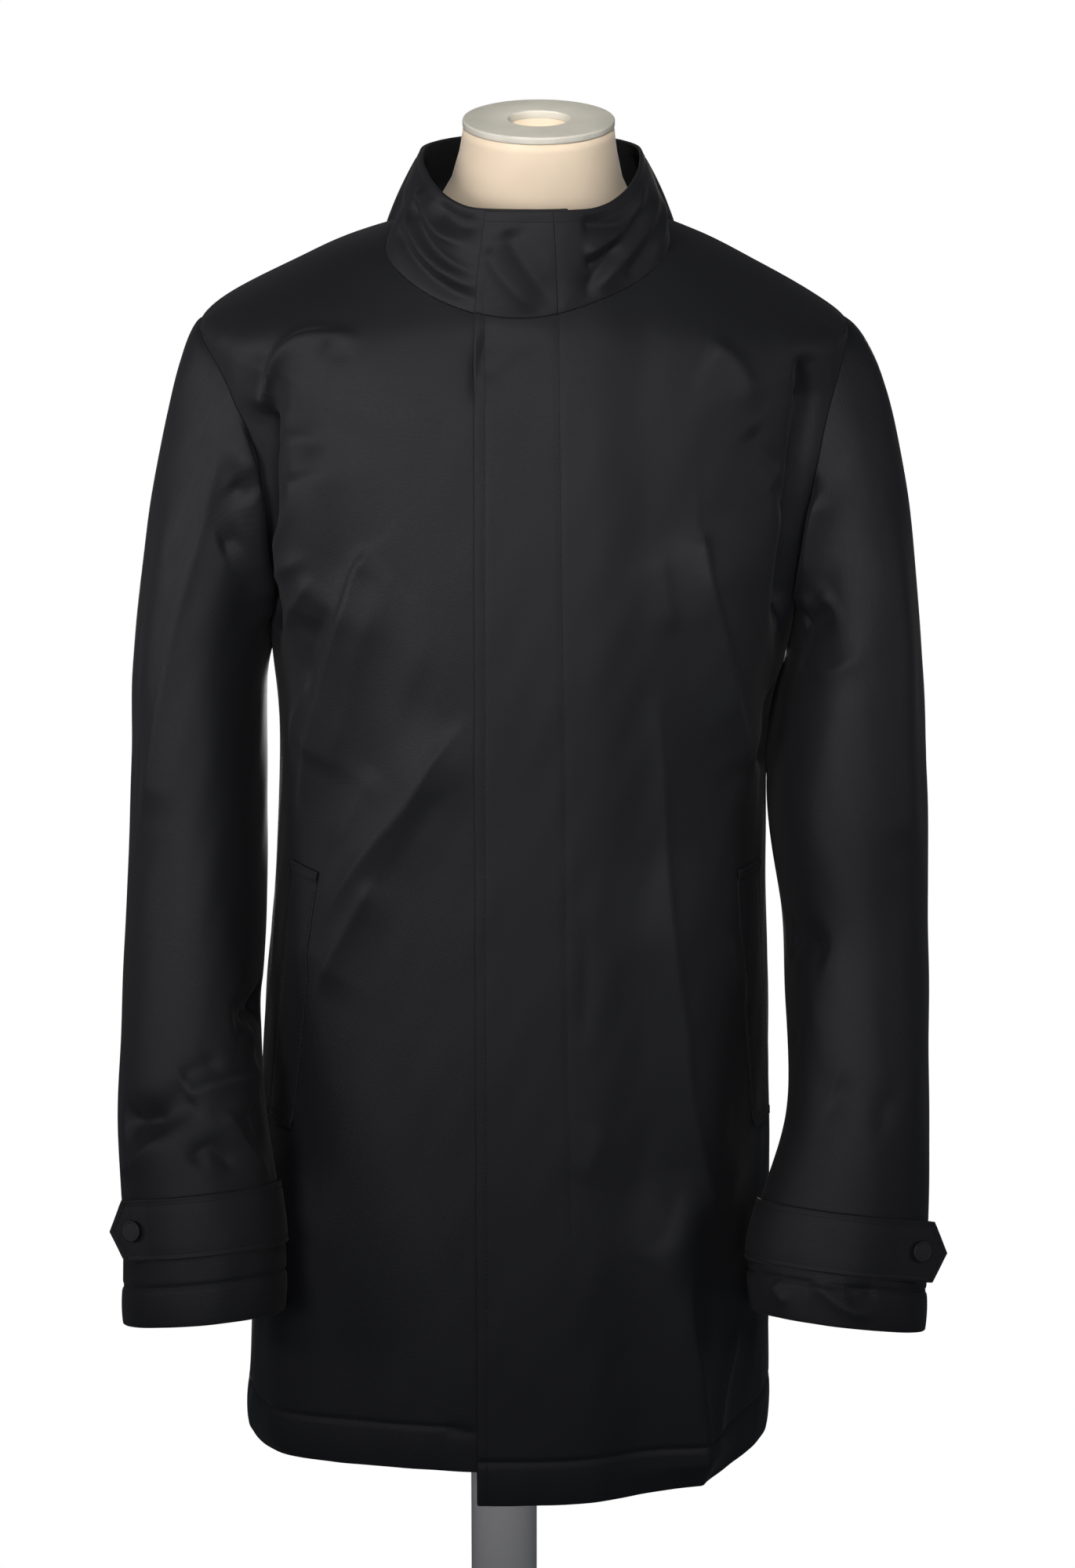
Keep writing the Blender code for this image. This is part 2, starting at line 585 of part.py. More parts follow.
def material(finish_name):
    """The material of a finish, made once."""
    if finish_name in bpy.data.materials:
        return bpy.data.materials[finish_name]
    finish = FINISHES[finish_name]
    made = bpy.data.materials.new(finish_name)
    made.use_nodes = True
    shader = made.node_tree.nodes["Principled BSDF"]
    shader.inputs["Base Color"].default_value = (*finish.colour, 1.0)
    shader.inputs["Roughness"].default_value = finish.roughness
    shader.inputs["Metallic"].default_value = finish.metallic
    return made


def place(name, mesh, finish_name, collection):
    """A named object of a mesh, in a collection, with its material."""
    piece = bpy.data.objects.new(name, mesh)
    collection.objects.link(piece)
    mesh.materials.append(material(finish_name))
    mesh.shade_smooth()
    mesh.set_sharp_from_angle(angle=math.radians(SHARP_ANGLE))
    return piece


def wall(name, outer, inner, collection, closed=False):
    """A cloth wall between two grids of points; closed joins the last column to the first."""
    rows, columns = outer.shape[:2]
    count = rows * columns
    points = np.concatenate([outer.reshape(-1, 3), inner.reshape(-1, 3)])
    across = columns if closed else columns - 1
    faces = []

    def quad(first, second, third, fourth):
        faces.append((first, second, third))
        faces.append((first, third, fourth))

    for row in range(rows - 1):
        for column in range(across):
            beside = (column + 1) % columns
            corner = row * columns + column
            right = row * columns + beside
            quad(corner, right, right + columns, corner + columns)
            within, beyond = count + corner, count + right
            faces.append((within, beyond + columns, beyond))
            faces.append((within, within + columns, beyond + columns))
    for column in range(across):
        beside = (column + 1) % columns
        quad(count + column, count + beside, beside, column)
        top = (rows - 1) * columns
        quad(top + column, top + beside, count + top + beside, count + top + column)
    if not closed:
        for row in range(rows - 1):
            left, left_above = row * columns, (row + 1) * columns
            right, right_above = left + columns - 1, left_above + columns - 1
            quad(left, left_above, count + left_above, count + left)
            quad(count + right, count + right_above, right_above, right)
    mesh = bpy.data.meshes.new(name)
    mesh.from_pydata(points.tolist(), [], faces)
    return place(name, mesh, "coat_cloth", collection)


def make_panels(collection):
    """The two fronts, the back and the collar sewn to their top edges."""
    left_outer, left_inner = front_panel(1)
    right_outer, right_inner = front_panel(-1)
    back_outer, back_inner = back_panel()
    wall("front_left", left_outer, left_inner, collection)
    wall("front_right", right_outer[:, ::-1], right_inner[:, ::-1], collection)
    wall("back", back_outer, back_inner, collection)
    make_collar(left_outer[-1], back_outer[-1], right_outer[-1, ::-1], collection)


def make_collar(left_top, back_top, right_top, collection):
    """The collar from the left front's edge, round the back, to the right front's edge under it."""
    base = np.concatenate([left_top, back_top[1:-1], right_top])
    centre = np.array([COLLAR_TOP.centre_x, COLLAR_TOP.side_y])
    angle = np.unwrap(np.arctan2(base[:, 0] - centre[0], centre[1] - base[:, 1]))
    turn = angle / (math.pi / 2)
    outer, inner = collar_walls(base, turn)
    split = int(np.argmin(np.abs(left_top[:, 0] - FLAP_SEAM_X)))
    for name, first, last, edge, neighbour in (
        ("collar_flap", 0, split, split, split - 1),
        ("collar", split, len(turn) - 1, split, split + 1),
    ):
        walls = []
        for grid in (outer, inner):
            piece = grid[:, first:last + 1].copy()
            pull = unit(grid[:, neighbour] - grid[:, edge]) * SEAM_GAP / 2
            piece[:, edge - first] += pull
            walls.append(piece)
        wall(name, *walls, collection)


def make_welt(welt, collection):
    """A pocket welt laid on its front."""
    down = np.linspace(1.0, 0.0, WELT_ROWS + 1)[:, None]
    across = np.linspace(0.0, 1.0, WELT_COLUMNS + 1)[None, :]
    inner_edge = welt.high_inner + (welt.low_inner - welt.high_inner) * down
    outer_edge = welt.high_outer + (welt.low_outer - welt.high_outer) * down
    turn = inner_edge + (outer_edge - inner_edge) * across
    height = welt.high + (welt.low - welt.high) * down + 0.0 * turn
    points = body(turn, height)
    normal = outward(body, turn, height)
    inner = points + normal * LAID_GAP
    outer = inner + normal * LAID_CLOTH
    order = slice(None) if welt.side == "left" else slice(None, None, -1)
    wall(f"pocket_welt_{welt.side}", outer[:, order], inner[:, order], collection)


def make_button(name, centre, normal, collection):
    """A domed snap cap, its axis along the normal, made as a turned profile."""
    profile = (
        (0.0, BUTTON_HEIGHT),
        (BUTTON_DOME_AT, BUTTON_DOME_HEIGHT),
        (BUTTON_RADIUS - BUTTON_CHAMFER, BUTTON_HEIGHT - BUTTON_EDGE),
        (BUTTON_RADIUS, BUTTON_EDGE),
        (BUTTON_RADIUS - BUTTON_CHAMFER, 0.0),
        (0.0, 0.0),
    )
    button = turned(name, profile, BUTTON_STEPS, "button", collection)
    facing = Vector(normal).to_track_quat("Z", "Y").to_matrix().to_4x4()
    button.matrix_world = Matrix.Translation(centre) @ facing


def make_sleeve(side, collection):
    """A sleeve with its cuff tab and the tab's button."""
    word = "left" if side > 0 else "right"
    levels = sleeve_levels(side)
    angles = np.linspace(0.0, 2 * math.pi, 2 * ARMHOLE_ROWS, endpoint=False)
    angle, level = np.meshgrid(angles, levels)
    outer, inner = sleeve_walls(side, angle, level)
    order = slice(None, None, -side)
    wall(f"sleeve_{word}", outer[::-1, order], inner[::-1, order], collection, closed=True)
    make_tab(side, word, collection)


def make_tab(side, word, collection):
    """A pointed tab round the front of the cuff; its free end goes straight on off the sleeve."""
    step = math.pi / ARMHOLE_ROWS
    on_sleeve = np.arange(math.radians(TAB_START) // step, math.radians(TAB_LEAVES) // step, -1) * step
    rings = SLEEVES[side]
    edges = sleeve_level(side, np.array([rings[TAB_LOW_ROW].height, rings[TAB_HIGH_ROW].height]))
    rows = np.array([edges[0], edges.mean(), edges[1]])
    angle, level = np.meshgrid(on_sleeve, rows)
    outer, inner = sleeve_walls(side, angle, level)
    normal = unit(outer - inner)
    seat = outer + normal * LAID_GAP
    way = unit(seat[:, -1] - seat[:, -2])
    off = unit(normal[:, -1] - way * np.sum(normal[:, -1] * way, axis=-1, keepdims=True))
    reaches = TAB_REACH[side] + np.array([0.0, TAB_POINT, 0.0])
    free = []
    for share in TAB_STATIONS:
        free.append(seat[:, -1] + way * (reaches * share)[:, None])
    seat = np.concatenate([seat, np.stack(free, axis=1)], axis=1)
    normal = np.concatenate([normal, np.stack([off] * len(free), axis=1)], axis=1)
    top = seat + normal * LAID_CLOTH
    order = slice(None, None, side)
    wall(f"cuff_tab_{word}", top[:, order], seat[:, order], collection)
    middle = top[1, -1 - len(free)] + way[1] * BUTTON_ALONG[side] + off[1] * LAID_GAP
    make_button(f"cuff_button_{word}", middle, off[1], collection)


def turned(name, profile, steps, finish_name, collection):
    """A turned solid from a profile of radius and height that runs down its outer side."""
    closed = profile[0][0] > 0
    points = [(radius, 0.0, height) for radius, height in profile]
    edges = [(k, k + 1) for k in range(len(points) - 1)]
    if closed:
        edges.append((len(points) - 1, 0))
    mesh = bpy.data.meshes.new(name)
    mesh.from_pydata(points, edges, [])
    piece = place(name, mesh, finish_name, collection)
    screw = piece.modifiers.new("turn", "SCREW")
    screw.steps = steps
    screw.render_steps = steps
    screw.use_merge_vertices = True
    screw.merge_threshold = MERGE_DISTANCE
    return piece


def form_sections():
    """The form's sections; those of the shoulders are the coat's, let down below its cloth."""
    rest = []
    for height in SHOULDER_REST:
        centre_x, half_width, front_y, side_y, back_y, squareness = columns_at(BODY, np.array([height]))
        front = side_y - REST_DEPTH * (side_y - front_y)
        back = side_y + REST_DEPTH * (back_y - side_y)
        inset = REST_TIP_INSET * ease(SHOULDER_REST[0] + REST_TIP_SPAN, SHOULDER_REST[0], height)
        values = (centre_x, half_width - inset, front, side_y, back, squareness)
        rest.append(Section(height - REST_DROP, *[float(value[0]) for value in values]))
    return FORM + tuple(rest) + NECK


def make_form(collection, cutters):
    """The limbless torso with its neck, closed below, with a socket in the neck's top."""
    sections = form_sections()
    turn = np.linspace(0.0, 4.0, FORM_COLUMNS, endpoint=False)
    rows = []
    for section in sections:
        values = [np.full(turn.shape, value) for value in section[1:]]
        ring = ring_points(values, turn, np.full(turn.shape, section.height))
        tip = ease(NECK_TILT_FROM, sections[-1].height, section.height)
        ring[:, 2] += math.tan(math.radians(NECK_TILT)) * tip * ring[:, 1]
        rows.append(ring)
    count = FORM_COLUMNS
    faces = [tuple(range(count))[::-1]]
    for row in range(len(rows) - 1):
        for column in range(count):
            beside = (column + 1) % count
            low, high = row * count, (row + 1) * count
            faces.append((low + column, low + beside, high + beside, high + column))
    faces.append(tuple(range((len(rows) - 1) * count, len(rows) * count)))
    mesh = bpy.data.meshes.new("dress_form")
    mesh.from_pydata(np.concatenate(rows).tolist(), [], faces)
    form = place("dress_form", mesh, "form_jersey", collection)
    top = Vector((sections[-1].centre_x, 0.0, sections[-1].height))
    tilt = Matrix.Translation(top) @ Matrix.Rotation(math.radians(NECK_TILT), 4, "X")
    high, low = SOCKET_DEPTH, -SOCKET_DEPTH
    socket = ((0.0, high), (CAP_HOLE, high), (CAP_HOLE, low), (0.0, low))
    cutter = turned("neck_socket", socket, TURNED_STEPS, "form_jersey", cutters)
    cutter.matrix_world = tilt
    cutter.hide_render = True
    cutter.display_type = "WIRE"
    cut = form.modifiers.new("socket", "BOOLEAN")
    cut.object = cutter
    cap = (
        (CAP_HOLE, CAP_THICKNESS),
        (CAP_RADIUS - CAP_ROUNDING, CAP_THICKNESS),
        (CAP_RADIUS, CAP_THICKNESS - CAP_ROUNDING),
        (CAP_RADIUS, SEAM_GAP),
        (CAP_HOLE, SEAM_GAP),
    )
    turned("neck_cap", cap, TURNED_STEPS, "cap", collection).matrix_world = tilt


def make_stand(collection):
    """The column under the form and its round foot."""
    base = (
        (0.0, BASE_RISE),
        (BASE_HUB, BASE_RISE),
        (BASE_HUB + BASE_ROUNDING, BASE_RISE - BASE_ROUNDING),
        (BASE_RADIUS - BASE_ROUNDING, BASE_EDGE),
        (BASE_RADIUS, BASE_EDGE - BASE_ROUNDING),
        (BASE_RADIUS, 0.0),
        (0.0, 0.0),
    )
    turned("stand_base", base, TURNED_STEPS, "stand", collection)
    low = BASE_RISE + SEAM_GAP
    high = FORM[0].height - SEAM_GAP
    column = ((0.0, high), (COLUMN_RADIUS, high), (COLUMN_RADIUS, low), (0.0, low))
    turned("stand_column", column, TURNED_STEPS, "stand", collection)


def main():
    """The whole object."""
    for old in list(bpy.data.objects):
        bpy.data.objects.remove(old)
    scene = bpy.context.scene.collection
    parts = bpy.data.collections.new("raincoat_on_dress_form")
    cutters = bpy.data.collections.new("cutters")
    scene.children.link(parts)
    scene.children.link(cutters)
    make_panels(parts)
    for side in (1, -1):
        make_sleeve(side, parts)
    for welt in WELTS:
        make_welt(welt, parts)
    make_form(parts, cutters)
    make_stand(parts)


main()
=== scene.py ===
"""Dresses the raincoat on its dress form: creased cloth, sewing, materials, light and camera.

Metres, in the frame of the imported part: +Z up, the front looks along -Y and the wearer's left is +X.
The cloth follows the solids' own sections, with finer creases. A place on the body is a turn round it
(0 centre front, 1 the left side, 2 centre back, 3 or -1 the right side) and a height. A place on a
sleeve is an angle round it (0 outside, 90 front, in degrees) and a height.
"""
import math
from collections import namedtuple

import bpy
import numpy as np
from mathutils import Matrix, Vector


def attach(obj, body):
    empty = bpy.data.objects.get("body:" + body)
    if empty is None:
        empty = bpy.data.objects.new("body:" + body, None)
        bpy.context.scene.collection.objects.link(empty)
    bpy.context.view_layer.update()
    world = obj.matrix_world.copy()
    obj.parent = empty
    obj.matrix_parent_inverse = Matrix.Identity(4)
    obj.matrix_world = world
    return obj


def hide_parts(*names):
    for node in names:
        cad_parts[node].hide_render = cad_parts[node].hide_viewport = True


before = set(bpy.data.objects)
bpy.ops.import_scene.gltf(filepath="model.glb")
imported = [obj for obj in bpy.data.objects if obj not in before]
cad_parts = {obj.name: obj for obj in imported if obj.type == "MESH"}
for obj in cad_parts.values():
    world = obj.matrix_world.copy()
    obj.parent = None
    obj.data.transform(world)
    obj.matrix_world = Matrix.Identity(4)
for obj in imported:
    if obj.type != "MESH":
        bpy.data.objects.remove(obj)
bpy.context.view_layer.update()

# Camera of the photograph, whose picture is 1371 by 2000 pixels
CAMERA_PLACE = (0.0245, -3.2, 1.92)
CAMERA_DOWN = 15.8
SENSOR_HEIGHT = 36.0
FOCAL_PIXELS = 6047.0
PICTURE_HEIGHT = 2000.0

# Cloth and clearances
CLOTH = 0.0022
LAID_CLOTH = 0.0020
REST_GAP = 0.0003
SEAM_GAP = 0.0001
SEWN_GAP = 0.0001
LAID_GAP = 0.0008
OVERLAP_GAP = 0.0014
OVERLAP_LIFT = CLOTH + OVERLAP_GAP

# Heights of the coat's seams and edges
HEM_LEFT = 0.533
HEM_RIGHT = 0.557
HEM_SIDE = 0.541
UNDERARM = 1.115
SHOULDER_TIP = 1.345
NECK_POINT = 1.412
FRONT_NECK = 1.360
BACK_NECK = 1.397
NECK_ROUNDING = 0.15

# Places across the front, and how far the armholes bite into the front and back, in turns
LEFT_EDGE_X = -0.0165
RIGHT_EDGE_X = 0.050
FLAP_SEAM_X = 0.038
FRONT_BITE = {1: 0.28, -1: 0.31}
FRONT_BITE_LEAN = {1: 0.3, -1: 0.5}
BACK_BITE = 0.25
LIFT_FULL, LIFT_GONE = 0.010, 0.050
BAND_GONE, BAND_FULL = 0.005, 0.030
HEM_LEVEL_SHARE = 0.25

# Turned bands along the hems, and sewn lines
HEM_BAND = 0.032
CUFF_BAND = 0.027
BAND_PUFF = 0.0009
BAND_FULLNESS = 0.7
BAND_GROOVE = 0.0012
GROOVE_SHARE = 0.06
SEAM_DIP, SEAM_WIDTH = 0.0002, 0.0022
STITCH_DIP, STITCH_WIDTH = 0.0005, 0.0020
PUCKER, PUCKER_REACH, PUCKER_LENGTH = 0.00006, 0.0050, 0.0130
PUCKER_SWAY, PUCKER_SWAY_RATE = 0.8, 31.0
EDGE_STITCH = 0.006
FLY_STITCH = ((0.735, 0.0470), (0.850, 0.0440), (1.030, 0.0425), (1.165, 0.0405), (1.362, 0.0382))
FLY_FADE = 0.01
STITCH_PITCH = 0.0034
STITCH_LENGTH = 0.0025
STITCH_RADIUS = 0.00032
# The rings of a stitch: place along it in lengths, and size and rise in radii
STITCH_RINGS = ((-0.5, 0.55, 0.15), (0.0, 1.0, 0.65), (0.5, 0.55, 0.15))
STITCH_CORNERS = 4

# The body's sections, from below the hem to above the neckline
Section = namedtuple("Section", "height centre_x half_width front_y side_y back_y squareness")
BODY = (
    Section(0.490, 0.0020, 0.1900, -0.148, -0.002, 0.126, 2.15),
    Section(0.540, 0.0030, 0.1890, -0.147, -0.002, 0.125, 2.15),
    Section(0.610, 0.0046, 0.1870, -0.146, -0.002, 0.123, 2.13),
    Section(0.720, 0.0070, 0.1835, -0.144, -0.002, 0.120, 2.15),
    Section(0.865, 0.0102, 0.1777, -0.141, -0.003, 0.114, 2.12),
    Section(0.980, 0.0132, 0.1712, -0.138, -0.003, 0.108, 2.18),
    Section(1.040, 0.0150, 0.1705, -0.137, -0.002, 0.110, 2.22),
    Section(1.120, 0.0190, 0.1790, -0.137, 0.000, 0.121, 2.30),
    Section(1.200, 0.0200, 0.1990, -0.133, 0.003, 0.129, 2.35),
    Section(1.280, 0.0190, 0.2150, -0.122, 0.006, 0.130, 2.40),
    Section(1.325, 0.0165, 0.2215, -0.111, 0.008, 0.125, 2.40),
    Section(1.345, 0.0145, 0.2190, -0.103, 0.008, 0.120, 2.25),
    Section(1.353, 0.0135, 0.2100, -0.099, 0.009, 0.118, 2.15),
    Section(1.369, 0.0140, 0.1840, -0.087, 0.010, 0.105, 2.05),
    Section(1.385, 0.0157, 0.1530, -0.075, 0.011, 0.093, 2.0),
    Section(1.401, 0.0180, 0.1190, -0.061, 0.012, 0.077, 2.0),
    Section(1.412, 0.0215, 0.0900, -0.050, 0.013, 0.062, 2.0),
    Section(1.430, 0.0230, 0.0680, -0.040, 0.013, 0.048, 2.0),
)

# The largest folds: height over the surface, half width and line seen from the front
Fold = namedtuple("Fold", "rise spread line")
FRONT_FOLDS = (
    Fold(-0.016, 0.016, (
        (-0.134, 1.352), (-0.154, 1.322), (-0.162, 1.283), (-0.161, 1.235), (-0.160, 1.190), (-0.158, 1.130),
    )),
    Fold(0.008, 0.022, ((-0.118, 1.290), (-0.126, 1.220), (-0.134, 1.150))),
    Fold(-0.016, 0.016, (
        (0.194, 1.338), (0.207, 1.300), (0.203, 1.262), (0.199, 1.200), (0.193, 1.140),
    )),
    Fold(0.009, 0.024, ((0.140, 1.235), (0.149, 1.168), (0.158, 1.108), (0.166, 1.045))),
    Fold(0.006, 0.024, ((-0.093, 1.198), (-0.107, 1.155), (-0.128, 1.050))),
    Fold(0.007, 0.030, ((-0.034, 1.100), (-0.070, 1.023), (-0.108, 0.959), (-0.131, 0.895))),
    Fold(0.008, 0.032, ((0.110, 1.005), (0.126, 0.877), (0.138, 0.782), (0.152, 0.720))),
    Fold(0.015, 0.027, ((0.112, 0.775), (0.121, 0.690), (0.130, 0.616), (0.138, 0.530))),
    Fold(-0.007, 0.022, ((0.188, 1.104), (0.186, 1.070), (0.182, 1.035))),
    Fold(0.009, 0.034, ((-0.138, 0.780), (-0.147, 0.660), (-0.154, 0.530))),
)
BACK_FOLDS = (
    Fold(-0.010, 0.020, ((-0.150, 1.320), (-0.160, 1.270), (-0.156, 1.180), (-0.146, 1.120))),
    Fold(-0.010, 0.020, ((0.190, 1.320), (0.200, 1.270), (0.194, 1.180), (0.184, 1.120))),
    Fold(0.010, 0.035, ((0.075, 0.930), (0.088, 0.760), (0.096, 0.520))),
    Fold(0.010, 0.036, ((-0.058, 0.960), (-0.080, 0.780), (-0.090, 0.520))),
    Fold(-0.006, 0.034, ((0.005, 0.900), (0.002, 0.700), (0.000, 0.520))),
)
FOLD_GROWS = 0.25
FOLD_DIES = 0.85
FOLD_KEPT = 0.35
FOLD_KEPT_FROM = 0.70
CALM_FROM, CALM_AT = 1.345, 1.360

# Creases: height over the surface, reach to the left and the right of the line (as walked along it, seen
# from outside), rounding of the crest, share over which it grows at its start, and the line
Crease = namedtuple("Crease", "rise left right round tip line")
CREASE_REACH = 6.0
CREASE_OVERRUN = 0.02
CREASE_FADES_FROM = 0.65
FRONT_CREASES = (
    # The slot before the right armhole, the arch over it and the pinched chest beside it
    Crease(-0.0070, 0.005, 0.005, 0.0015, 0.10, (
        (-0.160, 1.306), (-0.161, 1.294), (-0.161, 1.277), (-0.160, 1.256), (-0.160, 1.228), (-0.160, 1.194),
        (-0.161, 1.163), (-0.162, 1.135),
    )),
    Crease(0.0085, 0.004, 0.016, 0.002, 0.10, (
        (-0.167, 1.290), (-0.161, 1.313), (-0.150, 1.333), (-0.137, 1.343), (-0.121, 1.348), (-0.104, 1.349),
        (-0.090, 1.344),
    )),
    Crease(0.0045, 0.014, 0.003, 0.0015, 0.15, (
        (-0.149, 1.300), (-0.151, 1.273), (-0.150, 1.248), (-0.150, 1.207), (-0.151, 1.184), (-0.155, 1.150),
    )),
    Crease(-0.0024, 0.007, 0.005, 0.003, 0.30, ((-0.119, 1.342), (-0.110, 1.338), (-0.099, 1.343))),
    Crease(-0.0030, 0.006, 0.009, 0.004, 0.30, (
        (-0.158, 1.268), (-0.142, 1.278), (-0.127, 1.280), (-0.113, 1.275),
    )),
    Crease(0.0056, 0.012, 0.003, 0.0015, 0.06, (
        (-0.138, 1.257), (-0.136, 1.244), (-0.141, 1.226), (-0.152, 1.202), (-0.158, 1.180),
    )),
    Crease(0.0034, 0.006, 0.004, 0.002, 0.20, ((-0.158, 1.174), (-0.137, 1.195), (-0.122, 1.203))),
    # Drapes that run down from the chest to the right pocket
    Crease(0.0060, 0.016, 0.0035, 0.001, 0.06, (
        (-0.086, 1.210), (-0.095, 1.198), (-0.101, 1.174), (-0.108, 1.150), (-0.114, 1.128), (-0.121, 1.095),
        (-0.130, 1.056), (-0.138, 1.025), (-0.142, 1.000),
    )),
    Crease(-0.0030, 0.007, 0.007, 0.004, 0.20, ((-0.112, 1.172), (-0.122, 1.140), (-0.132, 1.096))),
    Crease(0.0034, 0.006, 0.004, 0.001, 0.15, ((-0.122, 1.190), (-0.130, 1.174), (-0.151, 1.140))),
    Crease(0.0030, 0.006, 0.004, 0.001, 0.20, ((-0.127, 1.119), (-0.138, 1.084), (-0.148, 1.056))),
    Crease(0.0026, 0.012, 0.008, 0.004, 0.25, (
        (-0.076, 1.190), (-0.086, 1.163), (-0.094, 1.137), (-0.101, 1.097), (-0.111, 1.065), (-0.120, 1.032),
    )),
    Crease(0.0016, 0.012, 0.012, 0.006, 0.30, ((-0.042, 1.165), (-0.066, 1.108), (-0.084, 1.060))),
    Crease(0.0046, 0.011, 0.005, 0.001, 0.20, (
        (-0.020, 1.099), (-0.044, 1.070), (-0.062, 1.037), (-0.079, 1.014), (-0.100, 0.981), (-0.114, 0.955),
        (-0.122, 0.930),
    )),
    Crease(0.0038, 0.007, 0.004, 0.001, 0.15, (
        (-0.084, 0.982), (-0.098, 0.952), (-0.112, 0.923), (-0.131, 0.879),
    )),
    Crease(0.0024, 0.008, 0.006, 0.003, 0.20, (
        (-0.083, 1.060), (-0.096, 1.031), (-0.109, 1.009), (-0.120, 0.990),
    )),
    Crease(-0.0028, 0.012, 0.010, 0.006, 0.30, (
        (-0.024, 1.064), (-0.048, 1.031), (-0.069, 0.996), (-0.090, 0.952),
    )),
    # The slot before the left armhole, and dents of the chest beside it
    Crease(0.0050, 0.003, 0.014, 0.0015, 0.12, (
        (0.195, 1.330), (0.197, 1.308), (0.197, 1.285), (0.196, 1.252), (0.196, 1.220), (0.195, 1.189),
        (0.190, 1.158),
    )),
    Crease(-0.0080, 0.005, 0.005, 0.0015, 0.06, (
        (0.199, 1.331), (0.206, 1.321), (0.211, 1.303), (0.210, 1.284), (0.206, 1.262), (0.203, 1.238),
        (0.202, 1.215), (0.200, 1.186), (0.197, 1.155), (0.193, 1.118),
    )),
    Crease(0.0036, 0.004, 0.012, 0.002, 0.15, (
        (0.139, 1.344), (0.155, 1.334), (0.166, 1.316), (0.173, 1.299),
    )),
    Crease(-0.0038, 0.006, 0.005, 0.003, 0.20, ((0.164, 1.288), (0.179, 1.267), (0.194, 1.252))),
    Crease(-0.0032, 0.005, 0.005, 0.003, 0.20, ((0.183, 1.251), (0.198, 1.221))),
    # Drapes that run down from the chest past the left pocket
    Crease(0.0062, 0.0035, 0.016, 0.001, 0.05, (
        (0.134, 1.220), (0.136, 1.191), (0.142, 1.162), (0.147, 1.138), (0.151, 1.109), (0.157, 1.080),
        (0.165, 1.050),
    )),
    Crease(0.0020, 0.006, 0.010, 0.003, 0.20, ((0.105, 1.210), (0.109, 1.186), (0.116, 1.150))),
    Crease(0.0034, 0.005, 0.008, 0.001, 0.15, (
        (0.104, 1.115), (0.108, 1.070), (0.111, 1.015), (0.112, 0.966), (0.116, 0.916), (0.122, 0.870),
        (0.127, 0.818), (0.134, 0.782), (0.144, 0.738), (0.156, 0.711), (0.167, 0.682),
    )),
    Crease(0.0024, 0.005, 0.007, 0.002, 0.20, ((0.158, 0.930), (0.164, 0.898), (0.170, 0.870))),
    Crease(0.0060, 0.006, 0.012, 0.001, 0.35, (
        (0.122, 0.706), (0.124, 0.678), (0.126, 0.648), (0.130, 0.611), (0.133, 0.575), (0.134, 0.530),
        (0.135, 0.440),
    )),
    Crease(0.0032, 0.005, 0.006, 0.002, 0.20, (
        (0.166, 0.640), (0.158, 0.614), (0.149, 0.590), (0.144, 0.555),
    )),
    Crease(-0.0024, 0.010, 0.008, 0.004, 0.30, ((0.098, 0.712), (0.112, 0.736), (0.121, 0.765))),
    Crease(-0.0014, 0.005, 0.005, 0.003, 0.25, ((0.054, 0.962), (0.057, 0.924), (0.055, 0.862))),
    Crease(0.0014, 0.010, 0.007, 0.004, 0.35, ((0.051, 0.768), (0.062, 0.790), (0.070, 0.812))),
    # The fly's top, under the collar, and the hem by the overlap
    Crease(-0.0034, 0.010, 0.004, 0.003, 0.05, (
        (-0.004, 1.360), (-0.011, 1.343), (-0.015, 1.325), (-0.016, 1.300),
    )),
    Crease(-0.0016, 0.010, 0.008, 0.004, 0.15, ((-0.010, 1.322), (0.008, 1.341), (0.034, 1.351))),
    Crease(-0.0014, 0.003, 0.003, 0.002, 0.15, ((-0.040, 0.587), (-0.014, 0.585))),
)
BACK_CREASES = (
    Crease(0.0040, 0.010, 0.018, 0.003, 0.10, (
        (-0.100, 1.255), (-0.112, 1.190), (-0.126, 1.110), (-0.134, 1.060),
    )),
    Crease(0.0036, 0.018, 0.009, 0.003, 0.10, (
        (0.132, 1.262), (0.146, 1.180), (0.160, 1.100), (0.166, 1.050),
    )),
    Crease(0.0026, 0.014, 0.012, 0.006, 0.30, (
        (-0.030, 1.190), (-0.058, 1.110), (-0.084, 1.030), (-0.100, 0.950),
    )),
    Crease(0.0026, 0.012, 0.014, 0.006, 0.30, (
        (0.062, 1.180), (0.088, 1.090), (0.112, 1.010), (0.128, 0.930),
    )),
    Crease(-0.0026, 0.012, 0.012, 0.006, 0.25, ((-0.012, 1.060), (-0.050, 0.990), (-0.070, 0.930))),
    Crease(-0.0024, 0.012, 0.012, 0.006, 0.25, ((0.040, 1.050), (0.076, 0.980), (0.094, 0.920))),
    Crease(0.0030, 0.010, 0.014, 0.003, 0.25, (
        (-0.062, 0.930), (-0.080, 0.800), (-0.092, 0.660), (-0.096, 0.545),
    )),
    Crease(0.0030, 0.014, 0.010, 0.003, 0.25, (
        (0.080, 0.900), (0.092, 0.770), (0.098, 0.640), (0.104, 0.545),
    )),
    Crease(0.0022, 0.010, 0.010, 0.004, 0.30, ((0.020, 0.820), (0.014, 0.700), (0.020, 0.580))),
    Crease(-0.0030, 0.007, 0.007, 0.003, 0.20, ((-0.142, 1.300), (-0.122, 1.278))),
    Crease(-0.0030, 0.007, 0.007, 0.003, 0.20, ((0.182, 1.304), (0.162, 1.276))),
)

